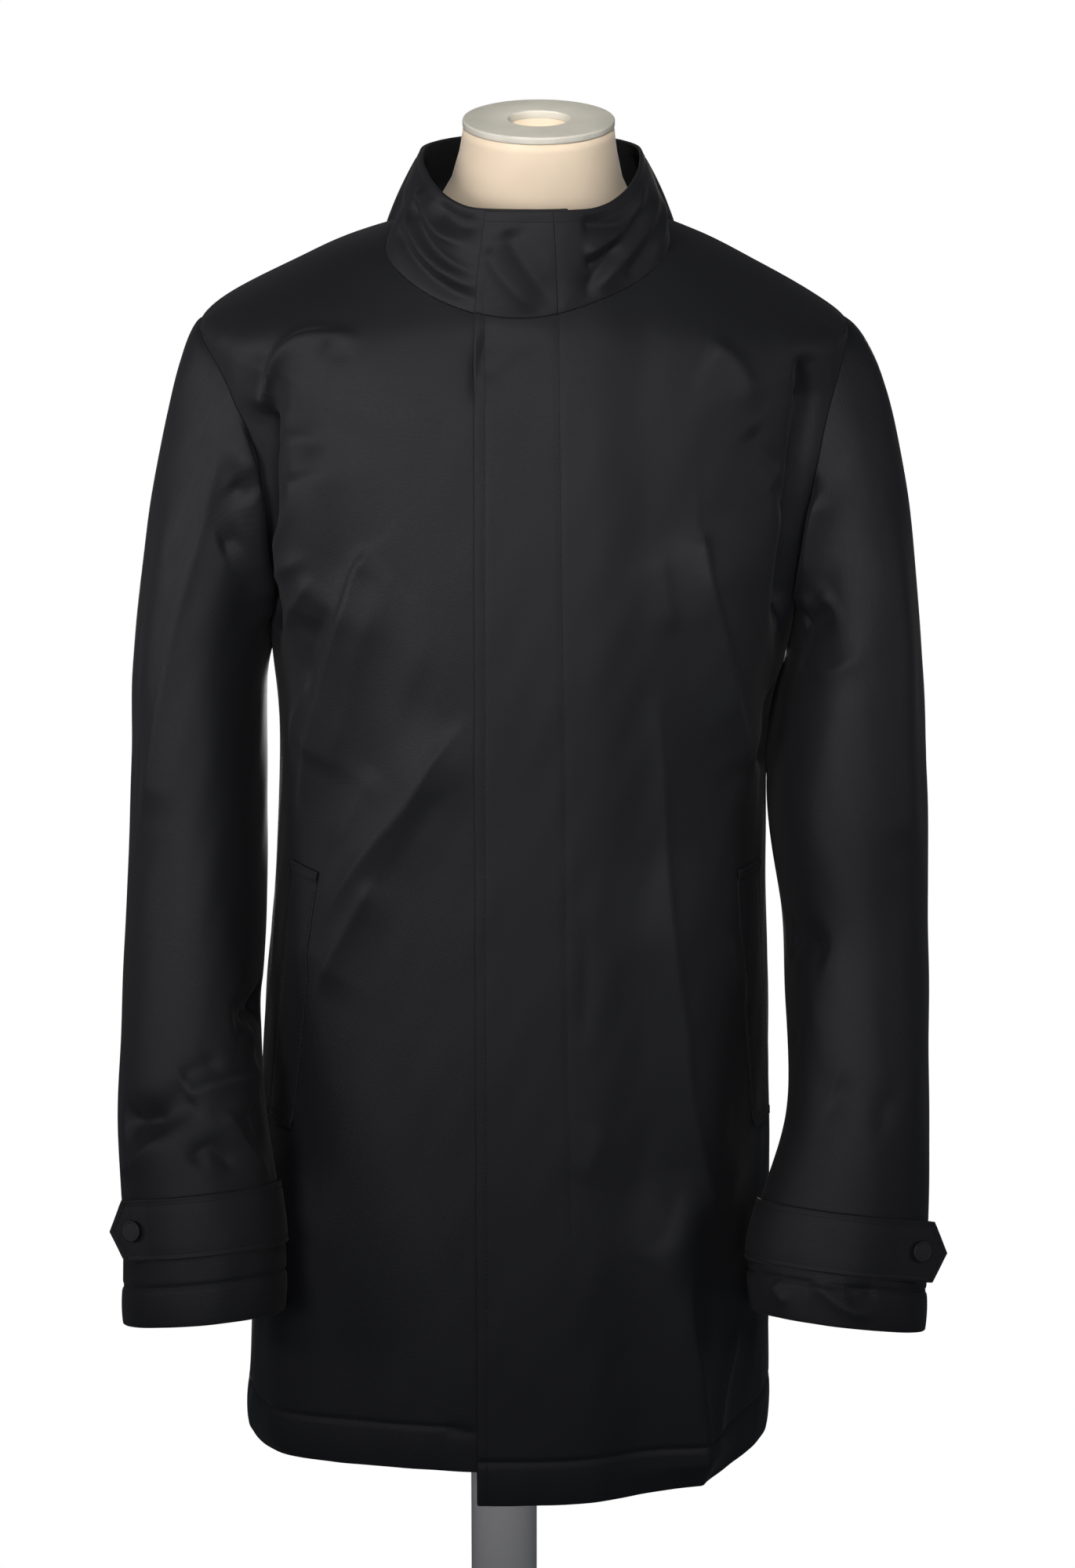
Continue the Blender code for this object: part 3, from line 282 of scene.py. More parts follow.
# A slight unevenness all over the cloth: height, waves a metre across and up, and phase
Wave = namedtuple("Wave", "rise across up phase")
WAVES = (
    Wave(0.00024, 11.0, 3.0, 0.4),
    Wave(0.00018, -7.0, 9.0, 2.1),
    Wave(0.00014, 19.0, 7.0, 4.0),
    Wave(0.00010, -23.0, 15.0, 1.2),
    Wave(0.00008, 37.0, -11.0, 5.3),
)
# Cloth to a turn round the body and to a radian round a sleeve, as those waves count it
TURN_LENGTH = 0.3
SLEEVE_RADIUS = 0.06

# The sleeves' rings below the armholes
Ring = namedtuple("Ring", "height outer inner centre_y half_depth pitch roll")
SLEEVE_LEFT = (
    Ring(0.6585, 0.2950, 0.1740, -0.114, 0.061, 17, 7),
    Ring(0.6945, 0.2960, 0.1720, -0.106, 0.061, 17, 7),
    Ring(0.7325, 0.2975, 0.1800, -0.094, 0.063, 17, 7),
    Ring(0.790, 0.2978, 0.1975, -0.078, 0.065, 15, 6),
    Ring(0.870, 0.2986, 0.1975, -0.048, 0.069, 12, 5),
    Ring(0.920, 0.2978, 0.1960, -0.034, 0.071, 9, 4),
    Ring(1.000, 0.2962, 0.1850, -0.028, 0.072, 6, 4),
    Ring(1.085, 0.2925, 0.1915, -0.016, 0.075, 2, 3),
)
SLEEVE_RIGHT = (
    Ring(0.6610, 0.2645, 0.1520, -0.114, 0.061, 16, 5),
    Ring(0.7080, 0.2645, 0.1520, -0.105, 0.061, 16, 6),
    Ring(0.7470, 0.2655, 0.1570, -0.093, 0.063, 16, 6),
    Ring(0.790, 0.2680, 0.1640, -0.080, 0.065, 15, 5),
    Ring(0.870, 0.2665, 0.1680, -0.047, 0.069, 12, 5),
    Ring(0.920, 0.2645, 0.1655, -0.028, 0.072, 9, 4),
    Ring(1.000, 0.2605, 0.1650, -0.008, 0.074, 6, 4),
    Ring(1.085, 0.2580, 0.1640, 0.004, 0.075, 2, 3),
)
SLEEVES = {1: SLEEVE_LEFT, -1: SLEEVE_RIGHT}
SIDE_WORDS = {1: "left", -1: "right"}
CUFF_ROW, TAB_LOW_ROW, TAB_HIGH_ROW = 0, 1, 2
CAP_TOP = (0.86, 0.0, -0.51)
CAP_SIDE = (0.70, 0.30, -0.65)
CAP_UNDER = (0.55, 0.0, -0.84)
CAP_FULLNESS = {1: 0.55, -1: 0.28}
CAP_END_PULL = 0.9
CAP_END_STEP = 0.010
SEAM_CALM = 0.05
Dent = namedtuple("Dent", "side rise spread line")
SLEEVE_FOLDS = (
    Dent(-1, 0.005, 0.018, ((40, 1.240), (50, 1.130), (55, 1.000))),
    Dent(-1, -0.007, 0.012, ((128, 0.858), (178, 0.867))),
    Dent(-1, -0.008, 0.014, ((25, 0.795), (70, 0.800), (100, 0.815))),
    Dent(1, 0.005, 0.018, ((45, 1.230), (50, 1.120), (52, 0.980))),
    Dent(1, -0.004, 0.016, ((116, 0.906), (160, 0.912))),
    Dent(1, -0.004, 0.016, ((60, 0.800), (120, 0.815))),
    Dent(-1, -0.006, 0.016, ((250, 0.900), (290, 0.930))),
    Dent(1, -0.006, 0.016, ((250, 0.890), (290, 0.925))),
    Dent(1, 0.012, 0.022, ((198, 1.240), (204, 1.150), (210, 1.085), (212, 1.020))),
    Dent(-1, 0.009, 0.012, ((56, 1.320), (75, 1.320), (92, 1.318), (110, 1.314), (130, 1.304))),
    Dent(1, 0.008, 0.012, ((74, 1.318), (92, 1.318), (110, 1.312), (130, 1.304))),
)
SLEEVE_CREASES = {
    -1: (
        # The long crest down the front, and dents by the armhole
        Crease(0.0026, 0.005, 0.004, 0.0012, 0.15, (
            (54, 1.314), (59, 1.281), (62, 1.249), (65, 1.212), (66, 1.179), (66, 1.144), (64, 1.091),
            (60, 1.062), (53, 1.034), (44, 1.010), (34, 0.975),
        )),
        Crease(0.0012, 0.004, 0.004, 0.0015, 0.20, ((42, 1.120), (38, 1.060), (30, 1.000))),
        Crease(-0.0036, 0.009, 0.006, 0.004, 0.30, ((70, 1.280), (84, 1.305))),
        Crease(-0.0036, 0.009, 0.006, 0.004, 0.30, ((77, 1.230), (92, 1.275))),
        # Folds of the elbow and over the cuff tab
        Crease(-0.0048, 0.006, 0.008, 0.003, 0.20, ((180, 0.867), (152, 0.860), (138, 0.862))),
        Crease(0.0034, 0.006, 0.006, 0.002, 0.20, ((160, 0.845), (136, 0.852))),
        Crease(0.0052, 0.012, 0.005, 0.002, 0.10, ((164, 0.822), (131, 0.822), (108, 0.819), (78, 0.807))),
        Crease(0.0044, 0.006, 0.009, 0.002, 0.15, ((20, 0.762), (45, 0.774), (66, 0.787), (95, 0.797))),
        Crease(0.0038, 0.006, 0.006, 0.002, 0.15, ((120, 0.804), (142, 0.769), (162, 0.749))),
        Crease(-0.0046, 0.006, 0.006, 0.003, 0.20, ((86, 0.826), (124, 0.836))),
        Crease(-0.0048, 0.007, 0.006, 0.003, 0.20, ((28, 0.800), (61, 0.799), (81, 0.803))),
        Crease(-0.0044, 0.006, 0.006, 0.003, 0.20, ((89, 0.769), (108, 0.778), (126, 0.757))),
        Crease(-0.0026, 0.005, 0.005, 0.002, 0.20, ((146, 0.802), (155, 0.778))),
        # The hidden back of the sleeve
        Crease(-0.0040, 0.007, 0.007, 0.003, 0.20, ((232, 0.878), (268, 0.896), (302, 0.905))),
        Crease(0.0036, 0.007, 0.007, 0.002, 0.20, ((222, 0.852), (262, 0.872), (294, 0.868))),
        Crease(-0.0036, 0.007, 0.007, 0.003, 0.20, ((240, 0.800), (278, 0.818), (312, 0.812))),
        Crease(0.0032, 0.007, 0.007, 0.002, 0.20, ((232, 0.774), (270, 0.790))),
        Crease(0.0026, 0.006, 0.006, 0.002, 0.15, ((296, 1.230), (316, 1.120), (308, 1.000))),
        Crease(-0.0034, 0.006, 0.006, 0.003, 0.20, ((288, 1.302), (272, 1.325))),
    ),
    1: (
        # The fold that hangs beside the armhole, and the oval under it
        Crease(0.0046, 0.012, 0.004, 0.002, 0.25, (
            (78, 1.316), (86, 1.320), (96, 1.316), (106, 1.302), (117, 1.280),
        )),
        Crease(0.0040, 0.006, 0.008, 0.003, 0.15, ((124, 1.282), (112, 1.249), (99, 1.235))),
        Crease(-0.0050, 0.006, 0.006, 0.003, 0.15, ((130, 1.275), (118, 1.240), (102, 1.219))),
        Crease(0.0030, 0.009, 0.007, 0.003, 0.20, (
            (142, 1.215), (125, 1.168), (109, 1.149), (89, 1.153), (80, 1.170),
        )),
        Crease(0.0014, 0.010, 0.010, 0.004, 0.20, ((46, 1.310), (56, 1.230), (58, 1.150))),
        # Folds of the elbow
        Crease(-0.0030, 0.007, 0.005, 0.004, 0.35, ((168, 0.902), (146, 0.915), (126, 0.914), (110, 0.904))),
        Crease(0.0026, 0.009, 0.008, 0.005, 0.40, ((166, 0.890), (140, 0.899), (116, 0.894))),
        Crease(-0.0024, 0.006, 0.006, 0.004, 0.35, ((168, 0.840), (148, 0.850), (134, 0.848))),
        # Folds of the cuff
        Crease(0.0036, 0.006, 0.005, 0.002, 0.15, ((109, 0.688), (89, 0.672), (68, 0.666))),
        Crease(-0.0034, 0.005, 0.005, 0.002, 0.15, ((88, 0.680), (66, 0.686))),
        Crease(0.0024, 0.005, 0.005, 0.002, 0.20, ((140, 0.681), (127, 0.667))),
        # The hidden back of the sleeve
        Crease(-0.0040, 0.007, 0.007, 0.003, 0.20, ((234, 0.882), (270, 0.900), (302, 0.910))),
        Crease(0.0036, 0.007, 0.007, 0.002, 0.20, ((224, 0.856), (264, 0.876), (296, 0.872))),
        Crease(-0.0036, 0.007, 0.007, 0.003, 0.20, ((242, 0.804), (280, 0.822), (314, 0.818))),
        Crease(0.0032, 0.007, 0.007, 0.002, 0.20, ((234, 0.778), (272, 0.794))),
        Crease(0.0026, 0.006, 0.006, 0.002, 0.15, ((298, 1.230), (318, 1.120), (310, 1.000))),
        Crease(-0.0034, 0.006, 0.006, 0.003, 0.20, ((286, 1.300), (272, 1.322))),
    ),
}

# The collar
COLLAR_TOP = Section(1.445, 0.0200, 0.0750, -0.084, 0.000, 0.078, 2.35)
COLLAR_FRONT_HEIGHT = 1.4315
COLLAR_SIDE_HEIGHT = 1.4595
COLLAR_BULGE = 0.002
COLLAR_TUCK = 0.0015
COLLAR_LIFT = 1.2 * OVERLAP_LIFT
LIFTED_TO, LIFT_ENDS = 0.3, 1.1
TUCK_STARTS, TUCKED_FROM = 3.55, 3.85
CLIMB_STARTS, CLIMB_ENDS = 0.30, 1.0
COLLAR_STITCH = 0.0065
COLLAR_CALM = 0.10

# Creases of the collar: lines of turns round it and shares of its height
COLLAR_CREASES = (
    # The right part, crumpled towards the flap's edge
    Crease(0.0042, 0.005, 0.003, 0.001, 0.15, ((3.28, 0.86), (3.52, 0.64), (3.72, 0.66))),
    Crease(-0.0052, 0.004, 0.004, 0.001, 0.15, ((3.30, 0.72), (3.52, 0.46), (3.78, 0.36))),
    Crease(0.0046, 0.005, 0.003, 0.001, 0.15, ((3.28, 0.56), (3.50, 0.34), (3.80, 0.24))),
    Crease(-0.0040, 0.004, 0.004, 0.001, 0.15, ((3.24, 0.36), (3.55, 0.17), (3.82, 0.11))),
    Crease(-0.0048, 0.006, 0.006, 0.002, 0.30, ((3.42, 0.88), (3.60, 0.82), (3.76, 0.84))),
    Crease(0.0016, 0.008, 0.007, 0.003, 0.30, ((2.84, 0.44), (3.08, 0.52), (3.24, 0.74))),
    Crease(-0.0018, 0.008, 0.007, 0.003, 0.30, ((2.92, 0.30), (3.14, 0.42), (3.30, 0.58))),
    # The flap
    Crease(0.0034, 0.010, 0.005, 0.002, 0.15, ((-0.22, 0.66), (-0.14, 0.42), (-0.05, 0.22), (0.05, 0.02))),
    Crease(-0.0040, 0.008, 0.006, 0.003, 0.15, ((-0.14, 0.84), (-0.01, 0.46), (0.10, 0.16), (0.16, 0.04))),
    # The left part, drawn up from the flap's seam
    Crease(-0.0044, 0.004, 0.005, 0.001, 0.10, ((0.26, 0.86), (0.36, 0.82), (0.48, 0.74), (0.62, 0.78))),
    Crease(0.0050, 0.004, 0.006, 0.001, 0.08, ((0.26, 0.52), (0.34, 0.59), (0.50, 0.70), (0.78, 0.90))),
    Crease(-0.0042, 0.004, 0.004, 0.001, 0.10, ((0.26, 0.42), (0.34, 0.46), (0.46, 0.56))),
    Crease(-0.0052, 0.006, 0.006, 0.001, 0.10, ((0.24, 0.08), (0.32, 0.32), (0.50, 0.56), (0.78, 0.74))),
    Crease(0.0040, 0.005, 0.006, 0.001, 0.15, ((0.28, 0.10), (0.43, 0.32), (0.62, 0.48), (0.90, 0.60))),
    Crease(-0.0036, 0.005, 0.005, 0.001, 0.15, ((0.44, 0.10), (0.62, 0.30), (0.86, 0.44))),
    Crease(0.0026, 0.005, 0.005, 0.002, 0.20, ((0.60, 0.14), (0.80, 0.30), (1.02, 0.40))),
    # The hidden back
    Crease(-0.0020, 0.006, 0.006, 0.003, 0.20, ((1.40, 0.66), (1.70, 0.48), (2.05, 0.56))),
    Crease(0.0020, 0.006, 0.006, 0.003, 0.20, ((1.95, 0.30), (2.30, 0.40), (2.70, 0.62))),
)

# Pocket welts: turns of their two long edges at the top and the bottom, and those heights
Welt = namedtuple("Welt", "side high_inner high_outer high low_inner low_outer low")
WELTS = (
    Welt("left", 0.640, 0.790, 0.975, 0.720, 0.865, 0.782),
    Welt("right", -0.560, -0.715, 0.978, -0.635, -0.780, 0.788),
)
WELT_STITCH = 0.0022
WELT_CLOTH = 0.0010
WELT_GAP = 0.0002
BAR_RISE = 0.0014
BAR_WIDTH = 0.0055
BAR_FOOT = 1.4 * BAR_WIDTH

# Cuff tabs, by angles round the sleeve, and their buttons
TAB_FIRST, TAB_BEFORE_LAST, TAB_LAST = 180, 72, 54
TAB_REACH = {1: 0.029, -1: 0.021}
TAB_POINT = 0.012
TAB_STITCH = 0.0035
BUTTON_ALONG = {1: 0.018, -1: 0.012}
BUTTON_RADIUS = 0.0075
BUTTON_HEIGHT = 0.0028
BUTTON_ROUNDING = 0.0009
# Radius and height of the button's profile, as shares of the whole
BUTTON_PROFILE = (
    (0.0, 0.93), (0.62, 0.92), (0.74, 0.88), (0.80, 1.00), (0.94, 0.97), (1.00, 0.72), (1.00, 0.20),
    (0.90, 0.0),
    (0.0, 0.0),
)

# The form and its stand
FORM = (
    Section(0.640, 0.0055, 0.138, -0.098, 0.000, 0.096, 2.2),
    Section(0.652, 0.0057, 0.148, -0.106, 0.000, 0.102, 2.2),
    Section(0.700, 0.0066, 0.155, -0.112, 0.000, 0.105, 2.15),
    Section(0.800, 0.0090, 0.156, -0.112, 0.000, 0.100, 2.1),
    Section(0.920, 0.0117, 0.147, -0.106, 0.000, 0.088, 2.1),
    Section(1.000, 0.0140, 0.143, -0.104, 0.000, 0.085, 2.1),
    Section(1.110, 0.0185, 0.155, -0.110, 0.001, 0.098, 2.15),
    Section(1.200, 0.0200, 0.170, -0.105, 0.003, 0.104, 2.15),
    Section(1.280, 0.0185, 0.189, -0.090, 0.006, 0.104, 2.1),
    Section(1.322, 0.0160, 0.195, -0.079, 0.008, 0.097, 2.05),
)
SHOULDER_REST = (1.350, 1.360, 1.374, 1.389, 1.403)
REST_DROP = 0.0036
REST_TIP_INSET = 0.006
REST_TIP_SPAN = 0.016
REST_DEPTH = 0.86
NECK = (
    Section(1.414, 0.0222, 0.0710, -0.049, 0.013, 0.074, 2.0),
    Section(1.424, 0.0232, 0.0665, -0.049, 0.011, 0.071, 2.0),
    Section(1.440, 0.0242, 0.0580, -0.049, 0.008, 0.064, 2.0),
    Section(1.460, 0.0250, 0.0530, -0.0505, 0.003, 0.056, 2.0),
    Section(1.476, 0.0253, 0.0510, -0.0510, 0.000, 0.051, 2.0),
)
NECK_TILT = 6.8
NECK_TILT_FROM = 1.424
CAP_RADIUS = 0.0515
CAP_HOLE = 0.0205
CAP_THICKNESS = 0.0055
CAP_ROUNDING = 0.0015
SOCKET_DEPTH = 0.045
COLUMN_RADIUS = 0.024
COLUMN_ROUNDING = 0.001
BASE_RADIUS = 0.190
BASE_EDGE = 0.010
BASE_RISE = 0.020
BASE_HUB = 0.036
BASE_ROUNDING = 0.003
FLOOR_RADIUS = 0.62
FLOOR_DROP = 0.0006

# How finely the cloth is made
FRONT_COLUMNS = 158
FRONT_BUNCHING = 1.25
BACK_COLUMNS = 92
HEM_ROWS, HEM_ZONE = 26, 0.038
LOWER_ROWS = 124
SHOULDER_ROWS = 30
SLEEVE_COLUMNS = 180
CAP_ROWS = 72
SLEEVE_ROWS = 134
CUFF_ROWS, CUFF_ZONE = 24, 0.033
COLLAR_ROWS = 30
WELT_COLUMNS, WELT_ROWS = 16, 110
TAB_COLUMNS, TAB_FREE_COLUMNS, TAB_ROWS = 60, 14, 14
FORM_COLUMNS, FORM_ROWS = 100, 140
TURNED_STEPS = 96
FLOOR_STEPS = 128
LINE_STEPS = 5
CORNER_STEPS, CORNER_SHARE = 6, 0.45
HALVINGS = 40
SLOPE_STEP = 1e-4
INSET_STEP = 1e-3
DEGREE_LENGTH = 0.001
MARGIN = 0.0006
MARGIN_SHARE = 0.5
# Sine of the angle between rows and columns below which a place counts as skewed
SKEWED_BELOW = 0.45

# Edges of the cloth grids that are sewn to a neighbour
SEWN_EDGES = {
    "front_left": ("top", "last"),
    "front_right": ("top", "first"),
    "back": ("top", "first", "last"),
    "collar_flap": ("bottom", "last"),
    "collar": ("bottom", "first"),
}

# The flat cut of each cloth piece: width, length and area
Cut = namedtuple("Cut", "width length area")

# Finishes: plain colour and roughness, scale and detail of the wander between two tones, and those tones
Finish = namedtuple("Finish", "name colour roughness scale detail dark light")
TWILL = Finish(
    "coat_twill", (0.012, 0.0125, 0.0155), 0.5, 9.0, 4.0, (0.0048, 0.0052, 0.0066), (0.0064, 0.0068, 0.0086),
)
THREAD = Finish(
    "thread", (0.006, 0.0065, 0.008), 0.6, 900.0, 1.0, (0.0045, 0.005, 0.006), (0.008, 0.0085, 0.010),
)
SNAP = Finish(
    "snap_cap", (0.008, 0.0085, 0.009), 0.55, 1400.0, 2.0, (0.010, 0.0105, 0.011), (0.014, 0.0145, 0.015),
)
JERSEY = Finish("cream_jersey", (0.76, 0.62, 0.45), 0.8, 14.0, 4.0, (0.72, 0.585, 0.42), (0.80, 0.66, 0.485))
CAP = Finish("neck_cap", (0.62, 0.59, 0.50), 0.6, 40.0, 5.0, (0.57, 0.545, 0.46), (0.66, 0.63, 0.54))
PAINT = Finish("stand_paint", (0.78, 0.77, 0.75), 0.35, 6.0, 4.0, (0.75, 0.74, 0.72), (0.80, 0.79, 0.77))
FLOOR = Finish("floor", (0.82, 0.82, 0.82), 0.8, 3.0, 3.0, (0.81, 0.81, 0.81), (0.84, 0.84, 0.84))
FLOOR_GLOW = (0.55, 0.55, 0.55)
TONE_STOPS = (0.3, 0.7)

# Grain: scale and detail of its noise, the roughness from low to high, and depth and strength of its bump
Grain = namedtuple("Grain", "scale detail low high depth strength")
TWILL_GRAIN = Grain(420.0, 2.0, 0.56, 0.70, 0.00016, 0.30)
SNAP_GRAIN = Grain(1400.0, 2.0, 0.50, 0.64, 0.00005, 0.4)
JERSEY_GRAIN = Grain(900.0, 2.0, 0.72, 0.9, 0.0002, 0.25)
CAP_GRAIN = Grain(700.0, 2.0, 0.5, 0.7, 0.0001, 0.2)
PAINT_GRAIN = Grain(320.0, 1.0, 0.30, 0.42, 0.0002, 0.12)
RIB_PITCH, RIB_ANGLE, RIB_DEPTH, RIB_STRENGTH = 0.0011, 63, 0.00010, 0.35
RIB_DISTORTION, RIB_DETAIL = 0.6, 2.0
# How far the wave texture turns in a metre at a scale of 1, in radians
WAVE_RATE = 20

# Soft boxes: place, the point that each looks at, size, angle of its cone in degrees, power and colour
Lamp = namedtuple("Lamp", "name place target size spread power colour")
LAMPS = (
    Lamp("key", (-1.6, -2.6, 1.75), (0.03, -0.1, 1.30), 1.0, 31.0, 1.50, (0.985, 0.96, 1.0)),
    Lamp("fill", (0.60, -2.8, 1.50), (0.06, -0.1, 1.18), 1.0, 33.0, 0.95, (0.965, 0.955, 1.0)),
    Lamp("top", (0.0, -1.7, 3.1), (0.01, -0.05, 1.33), 0.9, 24.0, 0.62, (0.96, 0.965, 1.0)),
    Lamp("neck", (0.02, -1.6, 2.6), (0.025, 0.0, 1.480), 0.1, 4.5, 0.036, (1.0, 0.98, 0.96)),
    Lamp("side_right", (-2.5, -0.6, 1.6), (-0.22, -0.05, 1.28), 0.9, 29.0, 0.72, (1.0, 0.93, 0.95)),
    Lamp("side_left", (2.5, -0.7, 1.5), (0.26, -0.05, 1.20), 1.0, 36.0, 0.42, (1.0, 0.94, 0.95)),
    Lamp("back_left", (0.5, 3.0, 0.70), (-0.02, 0.1, 0.95), 0.5, 44.0, 3.6, (1.0, 0.98, 0.98)),
    Lamp("back_right", (-0.6, 3.0, 0.40), (-0.12, 0.1, 0.66), 0.5, 24.0, 0.7, (1.0, 0.98, 0.98)),
)
SURROUND_COLOUR, SURROUND_STRENGTH = (0.72, 0.86, 1.0), 0.05
BACKDROP_COLOUR, BACKDROP_STRENGTH = (1.0, 1.0, 1.0), 1.0


def unit(vectors):
    """The vectors at length one."""
    return vectors / np.linalg.norm(vectors, axis=-1, keepdims=True)


def ease(start, end, value):
    """A soft step from 0 at start to 1 at end."""
    share = np.clip((value - start) / (end - start), 0.0, 1.0)
    return share * share * (3.0 - 2.0 * share)


def hermite(first, last, leave, arrive, share):
    """A cubic from first to last with the given speeds at its ends."""
    square, cube = share ** 2, share ** 3
    return (
        (2 * cube - 3 * square + 1) * first + (cube - 2 * square + share) * leave
        + (3 * square - 2 * cube) * last + (cube - square) * arrive
    )


def curve_speeds(keys, values):
    """Slopes at the rows of a table, for the curves through its columns that bend evenly."""
    step = np.diff(keys)[:, None]
    slope = np.diff(values, axis=0) / step
    system = np.zeros((len(keys), len(keys)))
    known = np.zeros_like(values)
    for row in range(1, len(keys) - 1):
        before, after = step[row - 1, 0], step[row, 0]
        system[row, row - 1:row + 2] = after, 2 * (before + after), before
        known[row] = 3 * (after * slope[row - 1] + before * slope[row])
    system[0, :2] = 2, 1
    system[-1, -2:] = 1, 2
    known[0], known[-1] = 3 * slope[0], 3 * slope[-1]
    return np.linalg.solve(system, known)


def columns_at(table, key):
    """Every column of a table at the given keys of its first one, on smooth curves through its rows."""
    rows = np.array(table)
    keys, values = rows[:, 0], rows[:, 1:]
    speeds = curve_speeds(keys, values)
    key = np.clip(key, keys[0], keys[-1])
    span = np.clip(np.searchsorted(keys, key) - 1, 0, len(keys) - 2)
    step = (keys[span + 1] - keys[span])[..., None]
    share = (key - keys[span])[..., None] / step
    result = hermite(values[span], values[span + 1], speeds[span] * step, speeds[span + 1] * step, share)
    return [result[..., column] for column in range(values.shape[1])]


def smooth_line(places):
    """A line of places, with more points on a smooth curve through them."""
    places = np.array(places)
    if len(places) < 3:
        return places
    lengths = np.linalg.norm(np.diff(places, axis=0) / np.ptp(places, axis=0).max(), axis=1)
    run = np.concatenate([[0.0], np.cumsum(lengths)])
    table = np.concatenate([run[:, None], places], axis=1)
    at = np.linspace(0.0, run[-1], LINE_STEPS * (len(places) - 1) + 1)
    return np.stack(columns_at(table, at), axis=-1)


def ring_points(sections, turn, height):
    """Points of rounded sections at the given turns and heights."""
    centre_x, half_width, front_y, side_y, back_y, squareness = sections
    across = np.sin(turn * math.pi / 2)
    ahead = np.cos(turn * math.pi / 2)
    reach = (np.abs(across) ** squareness + np.abs(ahead) ** squareness) ** (-1 / squareness)
    depth = np.where(ahead > 0, side_y - front_y, back_y - side_y)
    x = centre_x + half_width * reach * across
    y = side_y - depth * reach * ahead
    return np.stack([x, y, height + 0.0 * x], axis=-1)


def plain_body(turn, height):
    """The body surface without its folds."""
    return ring_points(columns_at(BODY, height), turn, height)


def outward(surface, first, second):
    """Unit normals of a surface of two variables, by its slopes."""
    along_first = surface(first + SLOPE_STEP, second) - surface(first - SLOPE_STEP, second)
    along_second = surface(first, second + SLOPE_STEP) - surface(first, second - SLOPE_STEP)
    return unit(np.cross(along_first, along_second))


def front_turn(x, height):
    """The turn at which the front lies at x."""
    low = np.full(np.shape(x), -1.0)
    high = np.full(np.shape(x), 1.0)
    for _ in range(HALVINGS):
        middle = (low + high) / 2
        short = plain_body(middle, height)[..., 0] < x
        low = np.where(short, middle, low)
        high = np.where(short, high, middle)
    return (low + high) / 2


def nearest_on_line(points, normals, line):
    """Distance from a line, the share of its length that is nearest, and which points lie left of it."""
    best = np.full(points.shape[:-1], np.inf)
    share = np.zeros(points.shape[:-1])
    left = np.zeros(points.shape[:-1], dtype=bool)
    lengths = np.linalg.norm(np.diff(line, axis=0), axis=1)
    before = np.concatenate([[0.0], np.cumsum(lengths)])
    for start, end, length, run in zip(line[:-1], line[1:], lengths, before):
        step = np.clip(((points - start) @ (end - start)) / length ** 2, 0.0, 1.0)
        offset = points - start - step[..., None] * (end - start)
        away = np.linalg.norm(offset, axis=-1)
        nearer = away < best
        best = np.where(nearer, away, best)
        share = np.where(nearer, (run + step * length) / before[-1], share)
        turned_left = np.sum(np.cross(end - start, points - start) * normals, axis=-1) > 0
        left = np.where(nearer, turned_left, left)
    return best, share, left


def fold_rise(points, normals, folds):
    """How far the largest folds lift the points; each fades out towards its ends."""
    rise = np.zeros(points.shape[:-1])
    for fold, line in folds:
        away, share, _ = nearest_on_line(points, normals, line)
        fade = ease(0.0, FOLD_GROWS, share) * ease(1.0, FOLD_DIES, share)
        fade = fade + FOLD_KEPT * ease(FOLD_KEPT_FROM, 1.0, share)
        rise += fold.rise * np.exp(-(away / fold.spread) ** 2) * np.minimum(fade, 1.0)
    return rise


def crease_rise(points, normals, creases):
    """How far the creases lift the points; a crest may be steeper on one side than on the other."""
    rise = np.zeros(points.shape[:-1])
    for crease, line in creases:
        margin = CREASE_REACH * max(crease.left, crease.right) + crease.round
        near = np.all((points > line.min(axis=0) - margin) & (points < line.max(axis=0) + margin), axis=-1)
        away, share, left = nearest_on_line(points[near], normals[near], line)
        spread = np.where(left, crease.left, crease.right)
        reach = (np.sqrt(away ** 2 + crease.round ** 2) - crease.round) / spread
        fade = ease(-CREASE_OVERRUN, crease.tip, share) * ease(1.0 + CREASE_OVERRUN, CREASE_FADES_FROM, share)
        rise[near] += crease.rise * np.exp(-reach) * fade
    return rise


def body_lines(tables, smooth):
    """Fold lines of the front and the back as lines on the body surface."""
    lines = []
    for rows, is_front in tables:
        for row in rows:
            places = smooth_line(row.line) if smooth else np.array(row.line)
            turn = front_turn(places[:, 0], places[:, 1])
            turn = turn if is_front else 2.0 - turn
            lines.append((row, plain_body(turn, places[:, 1])))
    return lines


BODY_FOLD_LINES = body_lines(((FRONT_FOLDS, True), (BACK_FOLDS, False)), False)
BODY_CREASE_LINES = body_lines(((FRONT_CREASES, True), (BACK_CREASES, False)), True)


def waviness(across, up):
    """The slight unevenness of cloth, by places across and up it."""
    total = 0.0
    for wave in WAVES:
        total = total + wave.rise * np.sin(2 * math.pi * (wave.across * across + wave.up * up) + wave.phase)
    return total


def body(turn, height):
    """The body surface with its folds and creases; none reach the cloth that rests on the form."""
    points = plain_body(turn, height)
    normals = outward(plain_body, turn, height)
    rise = fold_rise(points, normals, BODY_FOLD_LINES) + crease_rise(points, normals, BODY_CREASE_LINES)
    rise = (rise + waviness(TURN_LENGTH * turn, height)) * (1.0 - ease(CALM_FROM, CALM_AT, height))
    return points + normals * rise[..., None]


def rounded(turn):
    """The size of a turn, rounded off about zero and still 1 at the side."""
    whole = math.hypot(1.0, NECK_ROUNDING) - NECK_ROUNDING
    return (np.hypot(turn, NECK_ROUNDING) - NECK_ROUNDING) / whole


